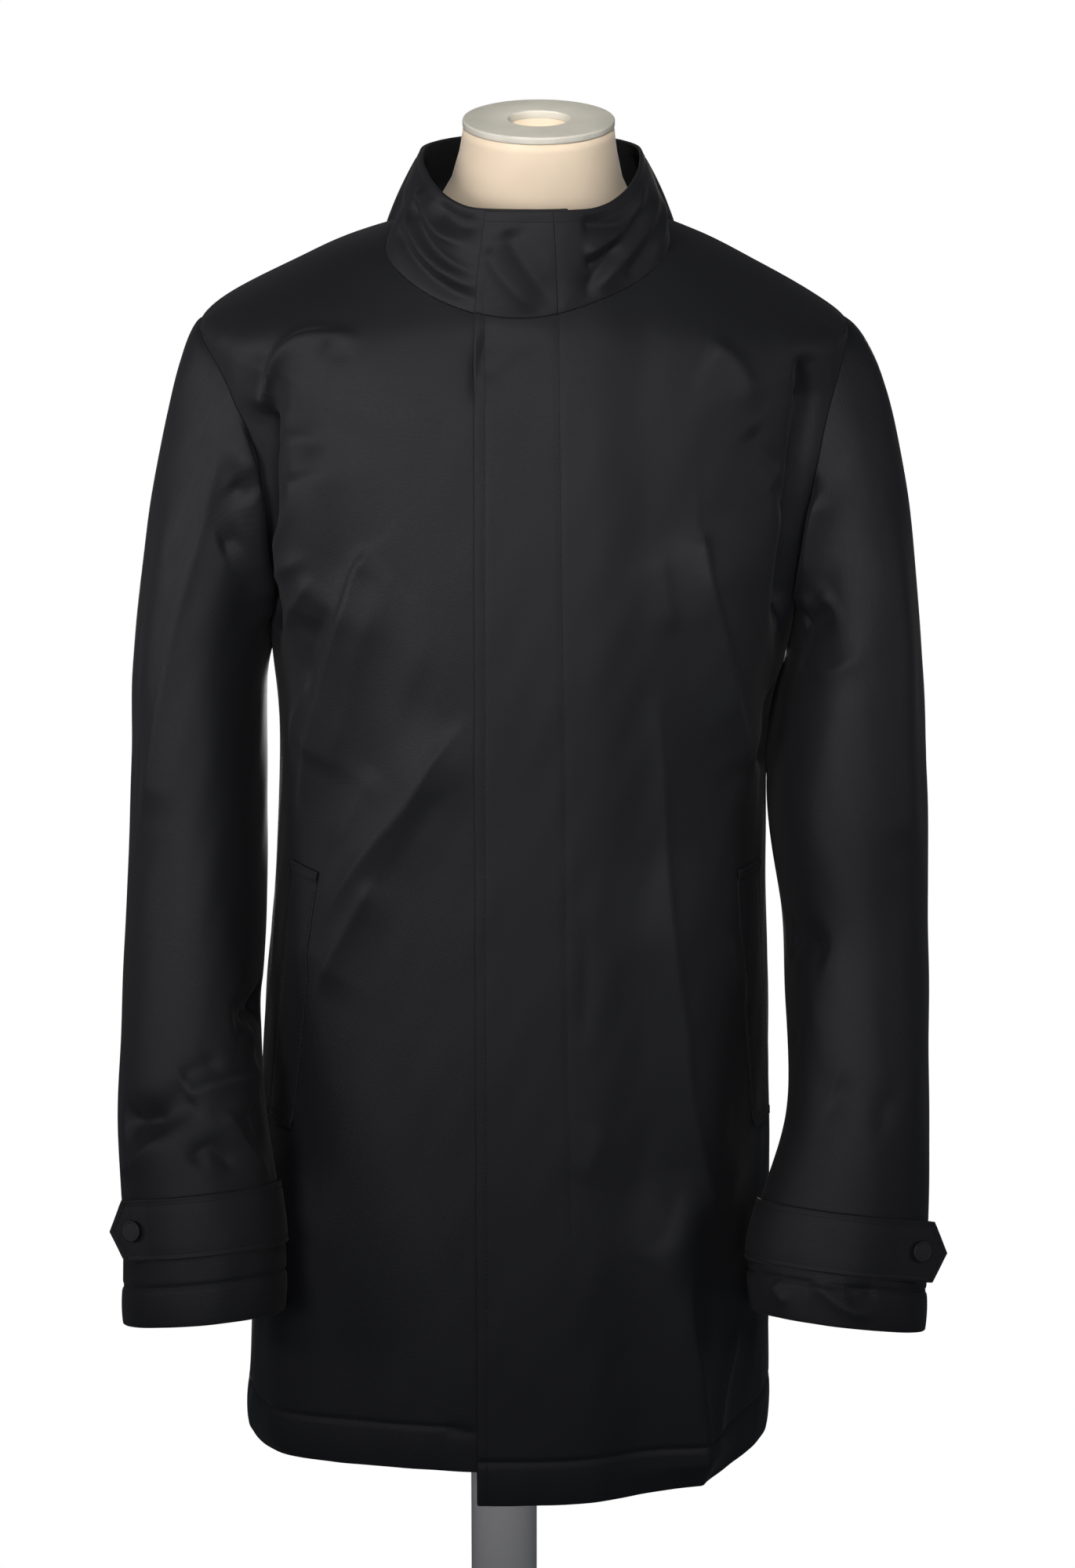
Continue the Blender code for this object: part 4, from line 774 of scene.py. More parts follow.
def armhole(side, angle):
    """Turn and height round an armhole; angle 0 is the shoulder, a quarter turn the front."""
    height = UNDERARM + (SHOULDER_TIP - UNDERARM) * (1 + np.cos(angle)) / 2
    front = FRONT_BITE[side] * (1 + FRONT_BITE_LEAN[side] * np.cos(angle))
    bite = np.where(np.sin(angle) > 0, front, BACK_BITE)
    return side * (1 - bite * np.sin(angle)), height


def band_relief(above, band):
    """The puffed band along an edge and the stitched groove at its top."""
    puff = BAND_PUFF * np.sin(np.clip(above / band, 0.0, 1.0) * math.pi) ** BAND_FULLNESS
    return puff - BAND_GROOVE * np.exp(-((above - band) / (GROOVE_SHARE * band)) ** 2)


def sewn_line(away, along):
    """The furrow that a row of stitches pulls into the cloth, with its small puckers."""
    furrow = -STITCH_DIP * np.exp(-(away / STITCH_WIDTH) ** 2)
    wander = along / PUCKER_LENGTH + PUCKER_SWAY * np.sin(along * PUCKER_SWAY_RATE)
    return furrow + PUCKER * np.sin(2 * math.pi * wander) * np.exp(-(away / PUCKER_REACH) ** 2)


def seam_dip(away):
    """How a sewn seam pulls in the cloth beside it."""
    return -SEAM_DIP * np.exp(-away / SEAM_WIDTH)


def run_along(points, axis, from_end=False):
    """Distances along the rows (axis 1) or the columns (axis 0) of a grid from its first or last point."""
    steps = np.linalg.norm(np.diff(points, axis=axis), axis=-1)
    zero = np.zeros_like(np.take(steps, [0], axis=axis))
    run = np.concatenate([zero, np.cumsum(steps, axis=axis)], axis=axis)
    if from_end:
        run = np.take(run, [-1], axis=axis) - run
    return run


def row_steps(grid, closed):
    """Steps along the rows of a grid, to its right."""
    if closed:
        return np.roll(grid, -1, axis=1) - np.roll(grid, 1, axis=1)
    return np.gradient(grid, axis=1)


def grid_normals(grid, closed=False):
    """Outward normals of a grid whose columns run to the right and whose rows go up.

    Where the rows and columns of an open grid hardly cross, the next column inward gives the normal.
    """
    crossed = np.cross(unit(row_steps(grid, closed)), unit(np.gradient(grid, axis=0)))
    normals = unit(crossed)
    if not closed:
        skewed = np.linalg.norm(crossed, axis=-1, keepdims=True) < SKEWED_BELOW
        middle, count = grid.shape[1] // 2, grid.shape[1]
        for column in range(middle + 1, count):
            normals[:, column] = np.where(skewed[:, column], normals[:, column - 1], normals[:, column])
        for column in range(middle - 1, -1, -1):
            normals[:, column] = np.where(skewed[:, column], normals[:, column + 1], normals[:, column])
    return normals


def edge_levels():
    """Heights of a panel's rows along its outer edge, and their angles round the armhole."""
    band = np.linspace(HEM_SIDE, HEM_SIDE + HEM_ZONE, HEM_ROWS + 1)[:-1]
    lower = np.concatenate([band, np.linspace(HEM_SIDE + HEM_ZONE, UNDERARM, LOWER_ROWS + 1)[:-1]])
    angles = np.linspace(math.pi, 0.0, SLEEVE_COLUMNS // 2 + 1)
    arm = armhole(1, angles)[1]
    shoulder = np.linspace(SHOULDER_TIP, NECK_POINT, SHOULDER_ROWS + 1)[1:]
    angles = np.concatenate([np.full(len(lower), math.pi), angles, np.zeros(len(shoulder))])
    return np.concatenate([lower, arm, shoulder]), angles


def seam_inset(height):
    """Half the seam gap at the side and shoulder seams, in turns."""
    near = plain_body(1.0, height) - plain_body(1.0 - INSET_STEP, height)
    return SEAM_GAP / 2 / (np.linalg.norm(near, axis=-1) / INSET_STEP)


def even_rows(levels, share):
    """How far up each row lies: evenly at share 0, and at its own level along the outer edge."""
    edge = (levels - HEM_SIDE) / (NECK_POINT - HEM_SIDE)
    even = np.concatenate([edge[:HEM_ROWS], np.linspace(edge[HEM_ROWS], 1.0, len(edge) - HEM_ROWS)])
    return even[:, None] + (edge - even)[:, None] * share


Panel = namedtuple("Panel", "outer normals across above edge")


def front_panel(side):
    """A front's outer points and normals, and its places across, above the hem and from the front edge."""
    edge_x = LEFT_EDGE_X if side > 0 else RIGHT_EDGE_X
    hem_edge = HEM_LEFT if side > 0 else HEM_RIGHT
    levels, angles = edge_levels()
    share = np.linspace(0.0, 1.0, FRONT_COLUMNS + 1)[None, :] ** FRONT_BUNCHING
    up = even_rows(levels, share)
    hem = hem_edge + (HEM_SIDE - hem_edge) * ease(HEM_LEVEL_SHARE, 1.0, share)
    neck_start = side * front_turn(edge_x, FRONT_NECK)
    neck_turn = neck_start + (1 - neck_start) * share
    neck_drop = (NECK_POINT - FRONT_NECK) * (1 - rounded(neck_turn)) ** 2
    level = HEM_SIDE + (NECK_POINT - HEM_SIDE) * up
    height = level + (hem - HEM_SIDE) * (1 - up) ** 2 - neck_drop * up ** 3
    start = side * front_turn(edge_x + 0.0 * height[:, :1], height[:, :1])
    end = (side * armhole(side, angles)[0] - seam_inset(levels))[:, None]
    turn = side * (start + (end - start) * share)
    x = plain_body(turn, height)[..., 0]
    above = height - hem
    band = band_relief(above, HEM_BAND)
    lift = np.zeros_like(turn)
    if side > 0:
        lift = OVERLAP_LIFT * ease(RIGHT_EDGE_X + LIFT_GONE, RIGHT_EDGE_X + LIFT_FULL, x)
    else:
        band = band * ease(LEFT_EDGE_X - BAND_GONE, LEFT_EDGE_X - BAND_FULL, x)
    order = slice(None, None, side)
    base = body(turn, height) + outward(plain_body, turn, height) * lift[..., None]
    from_edge = run_along(base, 1)
    relief = band + seam_dip(run_along(base, 1, True)) + seam_dip(run_along(base, 0, True))
    relief = relief + sewn_line(from_edge - EDGE_STITCH, height)
    if side > 0:
        fly_x = columns_at(FLY_STITCH, height)[0]
        in_fly = ease(FLY_STITCH[0][0] - FLY_FADE, FLY_STITCH[0][0], height)
        relief = relief + sewn_line(x - fly_x, height) * in_fly
    base, relief, x = base[:, order], relief[:, order], x[:, order]
    outer = base + grid_normals(base) * relief[..., None]
    return Panel(outer, grid_normals(outer), x, above[:, order], from_edge[:, order])


def back_panel():
    """The back's outer points and normals; columns go from the left side to the right."""
    levels, angles = edge_levels()
    share = np.linspace(-1.0, 1.0, BACK_COLUMNS + 1)[None, :]
    up = even_rows(levels, np.abs(share))
    neck_drop = (NECK_POINT - BACK_NECK) * (1 - share ** 2)
    height = HEM_SIDE + (NECK_POINT - HEM_SIDE) * up - neck_drop * up ** 3
    start = (armhole(1, -angles)[0] + seam_inset(levels))[:, None]
    turn = 2 + share * (2 - start)
    base = body(turn, height)
    above = height - HEM_SIDE
    relief = band_relief(above, HEM_BAND)
    for from_end in (False, True):
        relief = relief + seam_dip(run_along(base, 1, from_end))
    relief = relief + seam_dip(run_along(base, 0, True))
    outer = base + grid_normals(base) * relief[..., None]
    return Panel(outer, grid_normals(outer), base[..., 0], above, run_along(base, 1))


def sleeve_ring(side, angle, height):
    """Points of the sleeve's lower rings."""
    outer, inner, centre_y, half_depth, pitch, roll = columns_at(SLEEVES[side], height)
    half = (outer - inner) / 2
    x = side * ((outer + inner) / 2 + half * np.cos(angle))
    y = centre_y - half_depth * np.sin(angle)
    rise = np.tan(np.radians(pitch)) * half_depth * np.sin(angle)
    fall = np.tan(np.radians(roll)) * half * np.cos(angle)
    return np.stack([x, y, height + rise - fall], axis=-1)


def sleeve_cap(side, angle, share):
    """The sleeve from the armhole (share 0) to its first ring (share 1); a grid's rows share their angles."""
    angle = angle[:1] if angle.ndim == 2 else angle
    start = body(*armhole(side, angle))
    top_height = SLEEVES[side][-1].height
    end = sleeve_ring(side, angle, top_height + 0.0 * angle)
    length = np.linalg.norm(end - start, axis=-1, keepdims=True)
    upper = np.maximum(np.cos(angle), 0.0)[..., None] ** 2
    under = np.maximum(-np.cos(angle), 0.0)[..., None] ** 2
    middle = np.sin(angle)[..., None] ** 2
    forward = np.sign(np.sin(angle))[..., None]
    way_side = np.array(CAP_SIDE) * np.concatenate([forward ** 0, -forward, forward ** 0], axis=-1)
    way = upper * np.array(CAP_TOP) + under * np.array(CAP_UNDER) + middle * way_side
    way = unit(way * np.array([side, 1.0, 1.0]))
    start = start + way * SEWN_GAP
    below = sleeve_ring(side, angle, top_height - CAP_END_STEP + 0.0 * angle)
    arrive = unit(below - end) * length * CAP_END_PULL
    return hermite(start, end, way * length * CAP_FULLNESS[side], arrive, share[..., None])


def plain_sleeve(side, angle, level):
    """The whole sleeve: level 0 to 1 is the cap, 1 to 2 runs from the first ring to the cuff."""
    rings = SLEEVES[side]
    height = rings[-1].height + (rings[CUFF_ROW].height - rings[-1].height) * (level - 1)
    lower = sleeve_ring(side, angle, height)
    upper = sleeve_cap(side, angle, np.clip(level, 0.0, 1.0))
    return np.where((level > 1)[..., None], lower, upper)


def sleeve_level(side, height):
    """The level of a height below the cap, or in the cap by its share of the way up to the shoulder."""
    rings = SLEEVES[side]
    lower = 1 + (rings[-1].height - height) / (rings[-1].height - rings[CUFF_ROW].height)
    upper = 1 - (height - rings[-1].height) / (SHOULDER_TIP - rings[-1].height)
    return np.where(height < rings[-1].height, lower, upper)


def sleeve_line(side, places):
    """A line on a sleeve through places given as angle in degrees and height."""
    places = np.array(places, dtype=float)
    return plain_sleeve(side, np.radians(places[:, 0]), sleeve_level(side, places[:, 1]))


def sleeve_lines(side):
    """The fold lines and the crease lines of a sleeve."""
    folds = [(fold, sleeve_line(side, fold.line)) for fold in SLEEVE_FOLDS if fold.side == side]
    scale = np.array([DEGREE_LENGTH, 1.0])
    creases = []
    for crease in SLEEVE_CREASES[side]:
        places = smooth_line(np.array(crease.line) * scale) / scale
        creases.append((crease, sleeve_line(side, places)))
    return folds, creases


SLEEVE_LINES = {side: sleeve_lines(side) for side in SLEEVES}


def sleeve_outer(side, angle, level):
    """Outer points of a sleeve, with its folds, its creases and the band at its cuff."""
    def surface(first, second):
        return plain_sleeve(side, first, second)

    normals = outward(surface, angle, level) * side
    points = surface(angle, level)
    folds, creases = SLEEVE_LINES[side]
    rings = SLEEVES[side]
    above = (2 - level) * (rings[-1].height - rings[CUFF_ROW].height)
    rise = fold_rise(points, normals, folds) + crease_rise(points, normals, creases)
    rise = (rise + waviness(SLEEVE_RADIUS * angle, points[..., 2])) * ease(0.0, SEAM_CALM, level)
    rise = rise + band_relief(above, CUFF_BAND)
    return points + normals * rise[..., None]


def collar_grid(base, turn):
    """Outer points of the whole collar, from its sewn edge up; its hidden end is tucked in."""
    lift = COLLAR_LIFT * ease(LIFT_ENDS, LIFTED_TO, turn)
    tuck = COLLAR_TUCK * ease(TUCK_STARTS, TUCKED_FROM, turn)
    sections = [np.full(turn.shape, value) for value in COLLAR_TOP[1:]]
    round_to_back = 2 - np.abs(np.abs(turn) % 4 - 2)
    climb = ease(CLIMB_STARTS, CLIMB_ENDS, round_to_back)
    top_height = COLLAR_FRONT_HEIGHT + (COLLAR_SIDE_HEIGHT - COLLAR_FRONT_HEIGHT) * climb
    top = ring_points(sections, turn, top_height)
    away = unit((top - np.array([COLLAR_TOP.centre_x, 0.0, 0.0])) * np.array([1.0, 1.0, 0.0]))
    top = top + away * (lift - tuck)[:, None]
    base = base + np.array([0.0, 0.0, SEWN_GAP]) - away * tuck[:, None]
    share = np.linspace(0.0, 1.0, COLLAR_ROWS + 1)[:, None, None]
    return base + (top - base) * share + away * COLLAR_BULGE * np.sin(share * math.pi)


def grid_place(grid, turn, places):
    """Points of a grid at places given as turn and share of its height."""
    rows = grid.shape[0] - 1
    points = []
    for place_turn, share in places:
        at = float(np.clip(share, 0.0, 1.0)) * rows
        low = min(int(at), rows - 1)
        row = grid[low] + (grid[low + 1] - grid[low]) * (at - low)
        points.append([np.interp(place_turn, turn, row[:, axis]) for axis in range(3)])
    return np.array(points)


def add_piece(name, points, faces, finish, places=None):
    """A piece of the object from points and faces, with cloth places as its UV map if it has them."""
    mesh = bpy.data.meshes.new(name)
    mesh.from_pydata(np.asarray(points).tolist(), [], faces)
    mesh.polygons.foreach_set("use_smooth", np.ones(len(mesh.polygons), dtype=bool))
    if places is not None:
        layer = mesh.uv_layers.new(name="cloth")
        corner = np.empty(len(mesh.loops), dtype=np.int32)
        mesh.loops.foreach_get("vertex_index", corner)
        layer.data.foreach_set("uv", np.asarray(places)[corner].ravel())
    mesh.materials.append(finish)
    piece = bpy.data.objects.new(name, mesh)
    bpy.context.scene.collection.objects.link(piece)
    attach(piece, "root")
    return piece


def grid_quads(first, rows, columns, closed, flipped=False):
    """Faces between the points of a grid whose first point has the given number."""
    number = first + np.arange(rows * columns).reshape(rows, columns)
    if closed:
        number = np.concatenate([number, number[:, :1]], axis=1)
    corners = [number[:-1, :-1], number[:-1, 1:], number[1:, 1:], number[1:, :-1]]
    if flipped:
        corners = corners[::-1]
    return np.stack([corner.ravel() for corner in corners], axis=-1)


def loop_quads(upper, lower):
    """Faces between two closed loops of point numbers."""
    return np.stack([np.roll(upper, -1), upper, lower, np.roll(lower, -1)], axis=-1)


def with_margins(grid, axis):
    """A grid with one more row or column close to each of its two edges."""
    lanes = np.moveaxis(grid, axis, 0)
    close = []
    for edge, inward in ((0, 1), (-1, -2)):
        step = lanes[inward] - lanes[edge]
        share = np.minimum(MARGIN_SHARE, MARGIN / np.linalg.norm(step, axis=-1, keepdims=True))
        close.append(lanes[edge] + step * share)
    lanes = np.concatenate([lanes[:1], close[:1], lanes[1:-1], close[1:], lanes[-1:]])
    return np.moveaxis(lanes, 0, axis)


def shell(name, outer, thickness, finish, closed=False, sewn=()):
    """A thin cloth shell with rounded edges, flat where sewn; closed joins the last column to the first."""
    outer = with_margins(outer, 0)
    if not closed:
        outer = with_margins(outer, 1)
    rows, columns = outer.shape[:2]
    count = rows * columns
    normals = grid_normals(outer, closed)
    inner = outer - normals * thickness
    number = np.arange(count).reshape(rows, columns)
    across = unit(row_steps(outer, closed))
    upward = unit(np.gradient(outer, axis=0))
    way = np.zeros((rows, columns, 3))
    if "bottom" not in sewn:
        way[0] -= upward[0]
    if "top" not in sewn:
        way[-1] += upward[-1]
    if closed:
        loops = [number[0], number[-1, ::-1]]
    else:
        if "first" not in sewn:
            way[:, 0] -= across[:, 0]
        if "last" not in sewn:
            way[:, -1] += across[:, -1]
        loops = [np.concatenate([number[0], number[1:, -1], number[-1, -2::-1], number[-2:0:-1, 0]])]
    way = (way / np.maximum(np.linalg.norm(way, axis=-1, keepdims=True), 1.0)).reshape(-1, 3)
    flat_outer, flat_inner = outer.reshape(-1, 3), inner.reshape(-1, 3)
    middle_row, middle_column = rows // 2, columns // 2
    widths = run_along(outer[middle_row:middle_row + 1], 1)[0]
    lengths = run_along(outer[:, middle_column:middle_column + 1], 0)[:, 0]
    places = np.stack(np.meshgrid(widths, lengths), axis=-1).reshape(-1, 2)
    points = [flat_outer, flat_inner]
    faces = [grid_quads(0, rows, columns, closed), grid_quads(count, rows, columns, closed, True)]
    all_places = [places, places]
    first = 2 * count
    for loop in loops:
        points.append((flat_outer[loop] + flat_inner[loop]) / 2 + way[loop] * thickness / 2)
        all_places.append(places[loop])
        rim = first + np.arange(len(loop))
        faces.append(loop_quads(loop, rim))
        faces.append(loop_quads(rim, count + loop))
        first += len(loop)
    faces = np.concatenate(faces).tolist()
    return add_piece(name, np.concatenate(points), faces, finish, np.concatenate(all_places))


def lathe(name, profile, finish, matrix=None):
    """A turned piece from a profile of radius and height that runs down its outer side."""
    profile = np.array(profile)
    turn = np.linspace(0.0, 2 * math.pi, TURNED_STEPS, endpoint=False)
    radius, height = profile[::-1, :1], profile[::-1, 1:]
    grid = np.stack([radius * np.cos(turn), radius * np.sin(turn), height + 0.0 * turn], axis=-1)
    faces = grid_quads(0, len(profile), TURNED_STEPS, True).tolist()
    points = grid.reshape(-1, 3)
    if matrix is not None:
        points = points @ np.array(matrix.to_3x3()).T + np.array(matrix.translation)
    return add_piece(name, points, faces, finish)


def rounded_profile(corners, radius):
    """A profile whose inner corners are rounded off to about the given radius."""
    corners = np.array(corners, dtype=float)
    result = [corners[0]]
    for before, corner, after in zip(corners[:-2], corners[1:-1], corners[2:]):
        reach_in = min(radius, CORNER_SHARE * np.linalg.norm(corner - before))
        reach_out = min(radius, CORNER_SHARE * np.linalg.norm(after - corner))
        first = corner + unit(before - corner) * reach_in
        last = corner + unit(after - corner) * reach_out
        for share in np.linspace(0.0, 1.0, CORNER_STEPS):
            result.append((1 - share) ** 2 * first + 2 * share * (1 - share) * corner + share ** 2 * last)
    result.append(corners[-1])
    return np.array(result)


def crossing(grid, normals, field, value):
    """The line where a field has a value, one point in each row that it crosses, with normals."""
    points, ways = [], []
    for row in range(grid.shape[0]):
        past = field[row] - value
        change = np.nonzero((past[:-1] <= 0) != (past[1:] <= 0))[0]
        if len(change):
            column = change[0]
            share = past[column] / (past[column] - past[column + 1])
            points.append(grid[row, column] * (1 - share) + grid[row, column + 1] * share)
            ways.append(normals[row, column])
    return np.array(points), np.array(ways)


def crossing_columns(grid, normals, field, value):
    """The line where a field has a value, one point in each column that it crosses, with normals."""
    return crossing(grid.transpose(1, 0, 2), normals.transpose(1, 0, 2), field.T, value)


def along_line(values, run, at):
    """Vectors that go with the points of a line, at other distances along it."""
    return np.stack([np.interp(at, run, values[:, axis]) for axis in range(3)], axis=-1)


def stitch_row(line, normals):
    """The points of each stitch along a line that lies on the cloth."""
    run = run_along(line[None], 1)[0]
    total = int(run[-1] / STITCH_PITCH)
    centres = (np.arange(total) + 0.5) * run[-1] / total
    middles = []
    for place, _, _ in STITCH_RINGS:
        middles.append(along_line(line, run, np.clip(centres + place * STITCH_LENGTH, 0.0, run[-1])))
    way = unit(middles[-1] - middles[0])
    up = along_line(normals, run, centres)
    up = unit(up - way * np.sum(up * way, axis=-1, keepdims=True))
    beside = np.cross(up, way)
    points = []
    for middle, (_, size, rise) in zip(middles, STITCH_RINGS):
        centre = middle + up * STITCH_RADIUS * rise
        for step in range(STITCH_CORNERS):
            angle = 2 * math.pi * (step + 0.5) / STITCH_CORNERS
            off = up * math.cos(angle) + beside * math.sin(angle)
            points.append(centre + off * STITCH_RADIUS * size)
    return np.stack(points, axis=1)


def sew(name, lines, finish):
    """Stitches along lines that lie on the cloth, as one piece."""
    stitches = np.concatenate([stitch_row(*line) for line in lines])
    number = np.arange(stitches.shape[1]).reshape(-1, STITCH_CORNERS)
    faces = np.concatenate([grid_quads(0, *number.shape, True), [number[0, ::-1], number[-1]]])
    first = number.size * np.arange(len(stitches))
    faces = (first[:, None, None] + faces).reshape(-1, STITCH_CORNERS).tolist()
    add_piece(name, stitches.reshape(-1, 3), faces, finish)


Look = namedtuple("Look", "material nodes links shader place")


def noise_node(look, source, scale, detail):
    """Noise over a coordinate."""
    noise = look.nodes.new("ShaderNodeTexNoise")
    noise.inputs["Scale"].default_value = scale
    noise.inputs["Detail"].default_value = detail
    look.links.new(source, noise.inputs["Vector"])
    return noise.outputs["Fac"]


def ramp_node(look, source, dark, light):
    """A colour ramp from one tone to another."""
    ramp = look.nodes.new("ShaderNodeValToRGB")
    for element, position, colour in zip(ramp.color_ramp.elements, TONE_STOPS, (dark, light)):
        element.position = position
        element.color = (*colour, 1.0)
    look.links.new(source, ramp.inputs["Fac"])
    return ramp.outputs["Color"]


def bump_node(look, height, depth, strength, before=None):
    """A bump of a height, on top of another if there is one."""
    bump = look.nodes.new("ShaderNodeBump")
    bump.inputs["Distance"].default_value = depth
    bump.inputs["Strength"].default_value = strength
    look.links.new(height, bump.inputs["Height"])
    if before is not None:
        look.links.new(before, bump.inputs["Normal"])
    return bump.outputs["Normal"]


def rib_node(look, source):
    """Fine slanted ribs over a coordinate in metres."""
    mapping = look.nodes.new("ShaderNodeMapping")
    mapping.inputs["Rotation"].default_value = (0.0, 0.0, math.radians(RIB_ANGLE))
    look.links.new(source, mapping.inputs["Vector"])
    wave = look.nodes.new("ShaderNodeTexWave")
    wave.wave_type = "BANDS"
    wave.inputs["Scale"].default_value = 2 * math.pi / WAVE_RATE / RIB_PITCH
    wave.inputs["Distortion"].default_value = RIB_DISTORTION
    wave.inputs["Detail"].default_value = RIB_DETAIL
    look.links.new(mapping.outputs["Vector"], wave.inputs["Vector"])
    return wave.outputs["Fac"]


def vary_roughness(look, source, grain):
    """Lets a number from 0 to 1 move the roughness over the grain's span."""
    span = look.nodes.new("ShaderNodeMapRange")
    span.inputs["To Min"].default_value = grain.low
    span.inputs["To Max"].default_value = grain.high
    look.links.new(source, span.inputs["Value"])
    look.links.new(span.outputs["Result"], look.shader.inputs["Roughness"])


def toned_material(finish):
    """A material whose colour wanders between two tones, and that wander."""
    material = bpy.data.materials.new(finish.name)
    material.use_nodes = True
    nodes, links = material.node_tree.nodes, material.node_tree.links
    shader = nodes["Principled BSDF"]
    shader.inputs["Base Color"].default_value = (*finish.colour, 1.0)
    shader.inputs["Roughness"].default_value = finish.roughness
    look = Look(material, nodes, links, shader, nodes.new("ShaderNodeTexCoord").outputs["Object"])
    wander = noise_node(look, look.place, finish.scale, finish.detail)
    links.new(ramp_node(look, wander, finish.dark, finish.light), shader.inputs["Base Color"])
    return look, wander


def grained_material(finish, grain):
    """A toned material with a grain that moves its roughness and its bump."""
    look, _ = toned_material(finish)
    noise = noise_node(look, look.place, grain.scale, grain.detail)
    vary_roughness(look, noise, grain)
    look.links.new(bump_node(look, noise, grain.depth, grain.strength), look.shader.inputs["Normal"])
    return look


def cloth_material():
    """Near-black twill with a soft, slightly satin face."""
    look, _ = toned_material(TWILL)
    place = look.nodes.new("ShaderNodeUVMap")
    place.uv_map = "cloth"
    noise = noise_node(look, place.outputs["UV"], TWILL_GRAIN.scale, TWILL_GRAIN.detail)
    vary_roughness(look, noise, TWILL_GRAIN)
    ribs = bump_node(look, rib_node(look, place.outputs["UV"]), RIB_DEPTH, RIB_STRENGTH)
    slub = bump_node(look, noise, TWILL_GRAIN.depth, TWILL_GRAIN.strength, ribs)
    look.links.new(slub, look.shader.inputs["Normal"])
    look.shader.inputs["Specular IOR Level"].default_value = 0.42
    look.shader.inputs["Sheen Weight"].default_value = 0.06
    look.shader.inputs["Sheen Roughness"].default_value = 0.45
    look.shader.inputs["Sheen Tint"].default_value = (1.0, 0.93, 0.90, 1.0)
    return look.material


def jersey_material():
    """Cream jersey drawn over the form, with a fine knit."""
    look = grained_material(JERSEY, JERSEY_GRAIN)
    look.shader.inputs["Sheen Weight"].default_value = 0.15
    return look.material


def cap_material():
    """The grey beige cap of the neck, a little mottled and worn; the mottling moves its roughness too."""
    look, wander = toned_material(CAP)
    vary_roughness(look, wander, CAP_GRAIN)
    noise = noise_node(look, look.place, CAP_GRAIN.scale, CAP_GRAIN.detail)
    look.links.new(bump_node(look, noise, CAP_GRAIN.depth, CAP_GRAIN.strength), look.shader.inputs["Normal"])
    return look.material


def floor_material():
    """A plain floor that glows for the camera alone, so that it shows pale and lights nothing."""
    look, _ = toned_material(FLOOR)
    look.shader.inputs["Emission Color"].default_value = (*FLOOR_GLOW, 1.0)
    path = look.nodes.new("ShaderNodeLightPath")
    look.links.new(path.outputs["Is Camera Ray"], look.shader.inputs["Emission Strength"])
    return look.material


def lay_cloth(name, grid, thickness, cloth, closed=False, sewn=()):
    """A cloth shell in place of a solid, which is hidden."""
    piece = shell(name + "_cloth", grid, thickness, cloth, closed, sewn)
    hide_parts(name)


def make_panels(cloth, thread):
    """The two fronts, the back and the collar, with their sewing."""
    panels = {"front_left": front_panel(1), "front_right": front_panel(-1), "back": back_panel()}
    for name, panel in panels.items():
        lay_cloth(name, panel.outer, CLOTH, cloth, sewn=SEWN_EDGES[name])
        points, ways = crossing_columns(panel.outer, panel.normals, panel.above, HEM_BAND)
        if name == "front_right":
            shown = points[:, 0] < LEFT_EDGE_X - BAND_GONE
            points, ways = points[shown], ways[shown]
        lines = [(points, ways)]
        if name == "front_left":
            lines.append(crossing(panel.outer, panel.normals, panel.edge, EDGE_STITCH))
            fly_x = columns_at(FLY_STITCH, panel.outer[..., 2])[0]
            points, ways = crossing(panel.outer, panel.normals, panel.across - fly_x, 0.0)
            inside = points[:, 2] > FLY_STITCH[0][0]
            lines.append((points[inside], ways[inside]))
        sew("stitches_" + name, lines, thread)
    make_collar(panels, cloth, thread)


def make_collar(panels, cloth, thread):
    """The collar from the left front's edge, round the back, to the right front's edge under it."""
    left_top = panels["front_left"].outer[-1]
    base = np.concatenate([left_top, panels["back"].outer[-1, 1:-1], panels["front_right"].outer[-1]])
    centre = np.array([COLLAR_TOP.centre_x, COLLAR_TOP.side_y])
    angle = np.unwrap(np.arctan2(base[:, 0] - centre[0], centre[1] - base[:, 1]))
    turn = angle / (math.pi / 2)
    plain = collar_grid(base, turn)
    normals = grid_normals(plain)
    creases = []
    for crease in COLLAR_CREASES:
        creases.append((crease, grid_place(plain, turn, smooth_line(crease.line))))
    share = np.linspace(0.0, 1.0, COLLAR_ROWS + 1)[:, None]
    from_top = run_along(plain, 0, True)
    calm = ease(0.0, COLLAR_CALM, share) * ease(1.0, 1.0 - COLLAR_CALM, share)
    rise = crease_rise(plain, normals, creases) * calm
    rise = rise + sewn_line(from_top - COLLAR_STITCH, run_along(plain, 1))
    rise = rise + seam_dip(run_along(plain, 0))
    outer = plain + normals * rise[..., None]
    split = int(np.argmin(np.abs(left_top[:, 0] - FLAP_SEAM_X)))
    for name, first, last, neighbour in (
        ("collar_flap", 0, split, split - 1),
        ("collar", split, len(turn) - 1, split + 1),
    ):
        grid = outer[:, first:last + 1].copy()
        grid[:, split - first] += unit(outer[:, neighbour] - outer[:, split]) * SEAM_GAP / 2
        lay_cloth(name, grid, CLOTH, cloth, sewn=SEWN_EDGES[name])
        line = crossing_columns(grid, grid_normals(grid), run_along(grid, 0, True), COLLAR_STITCH)
        sew("stitches_" + name, [line], thread)


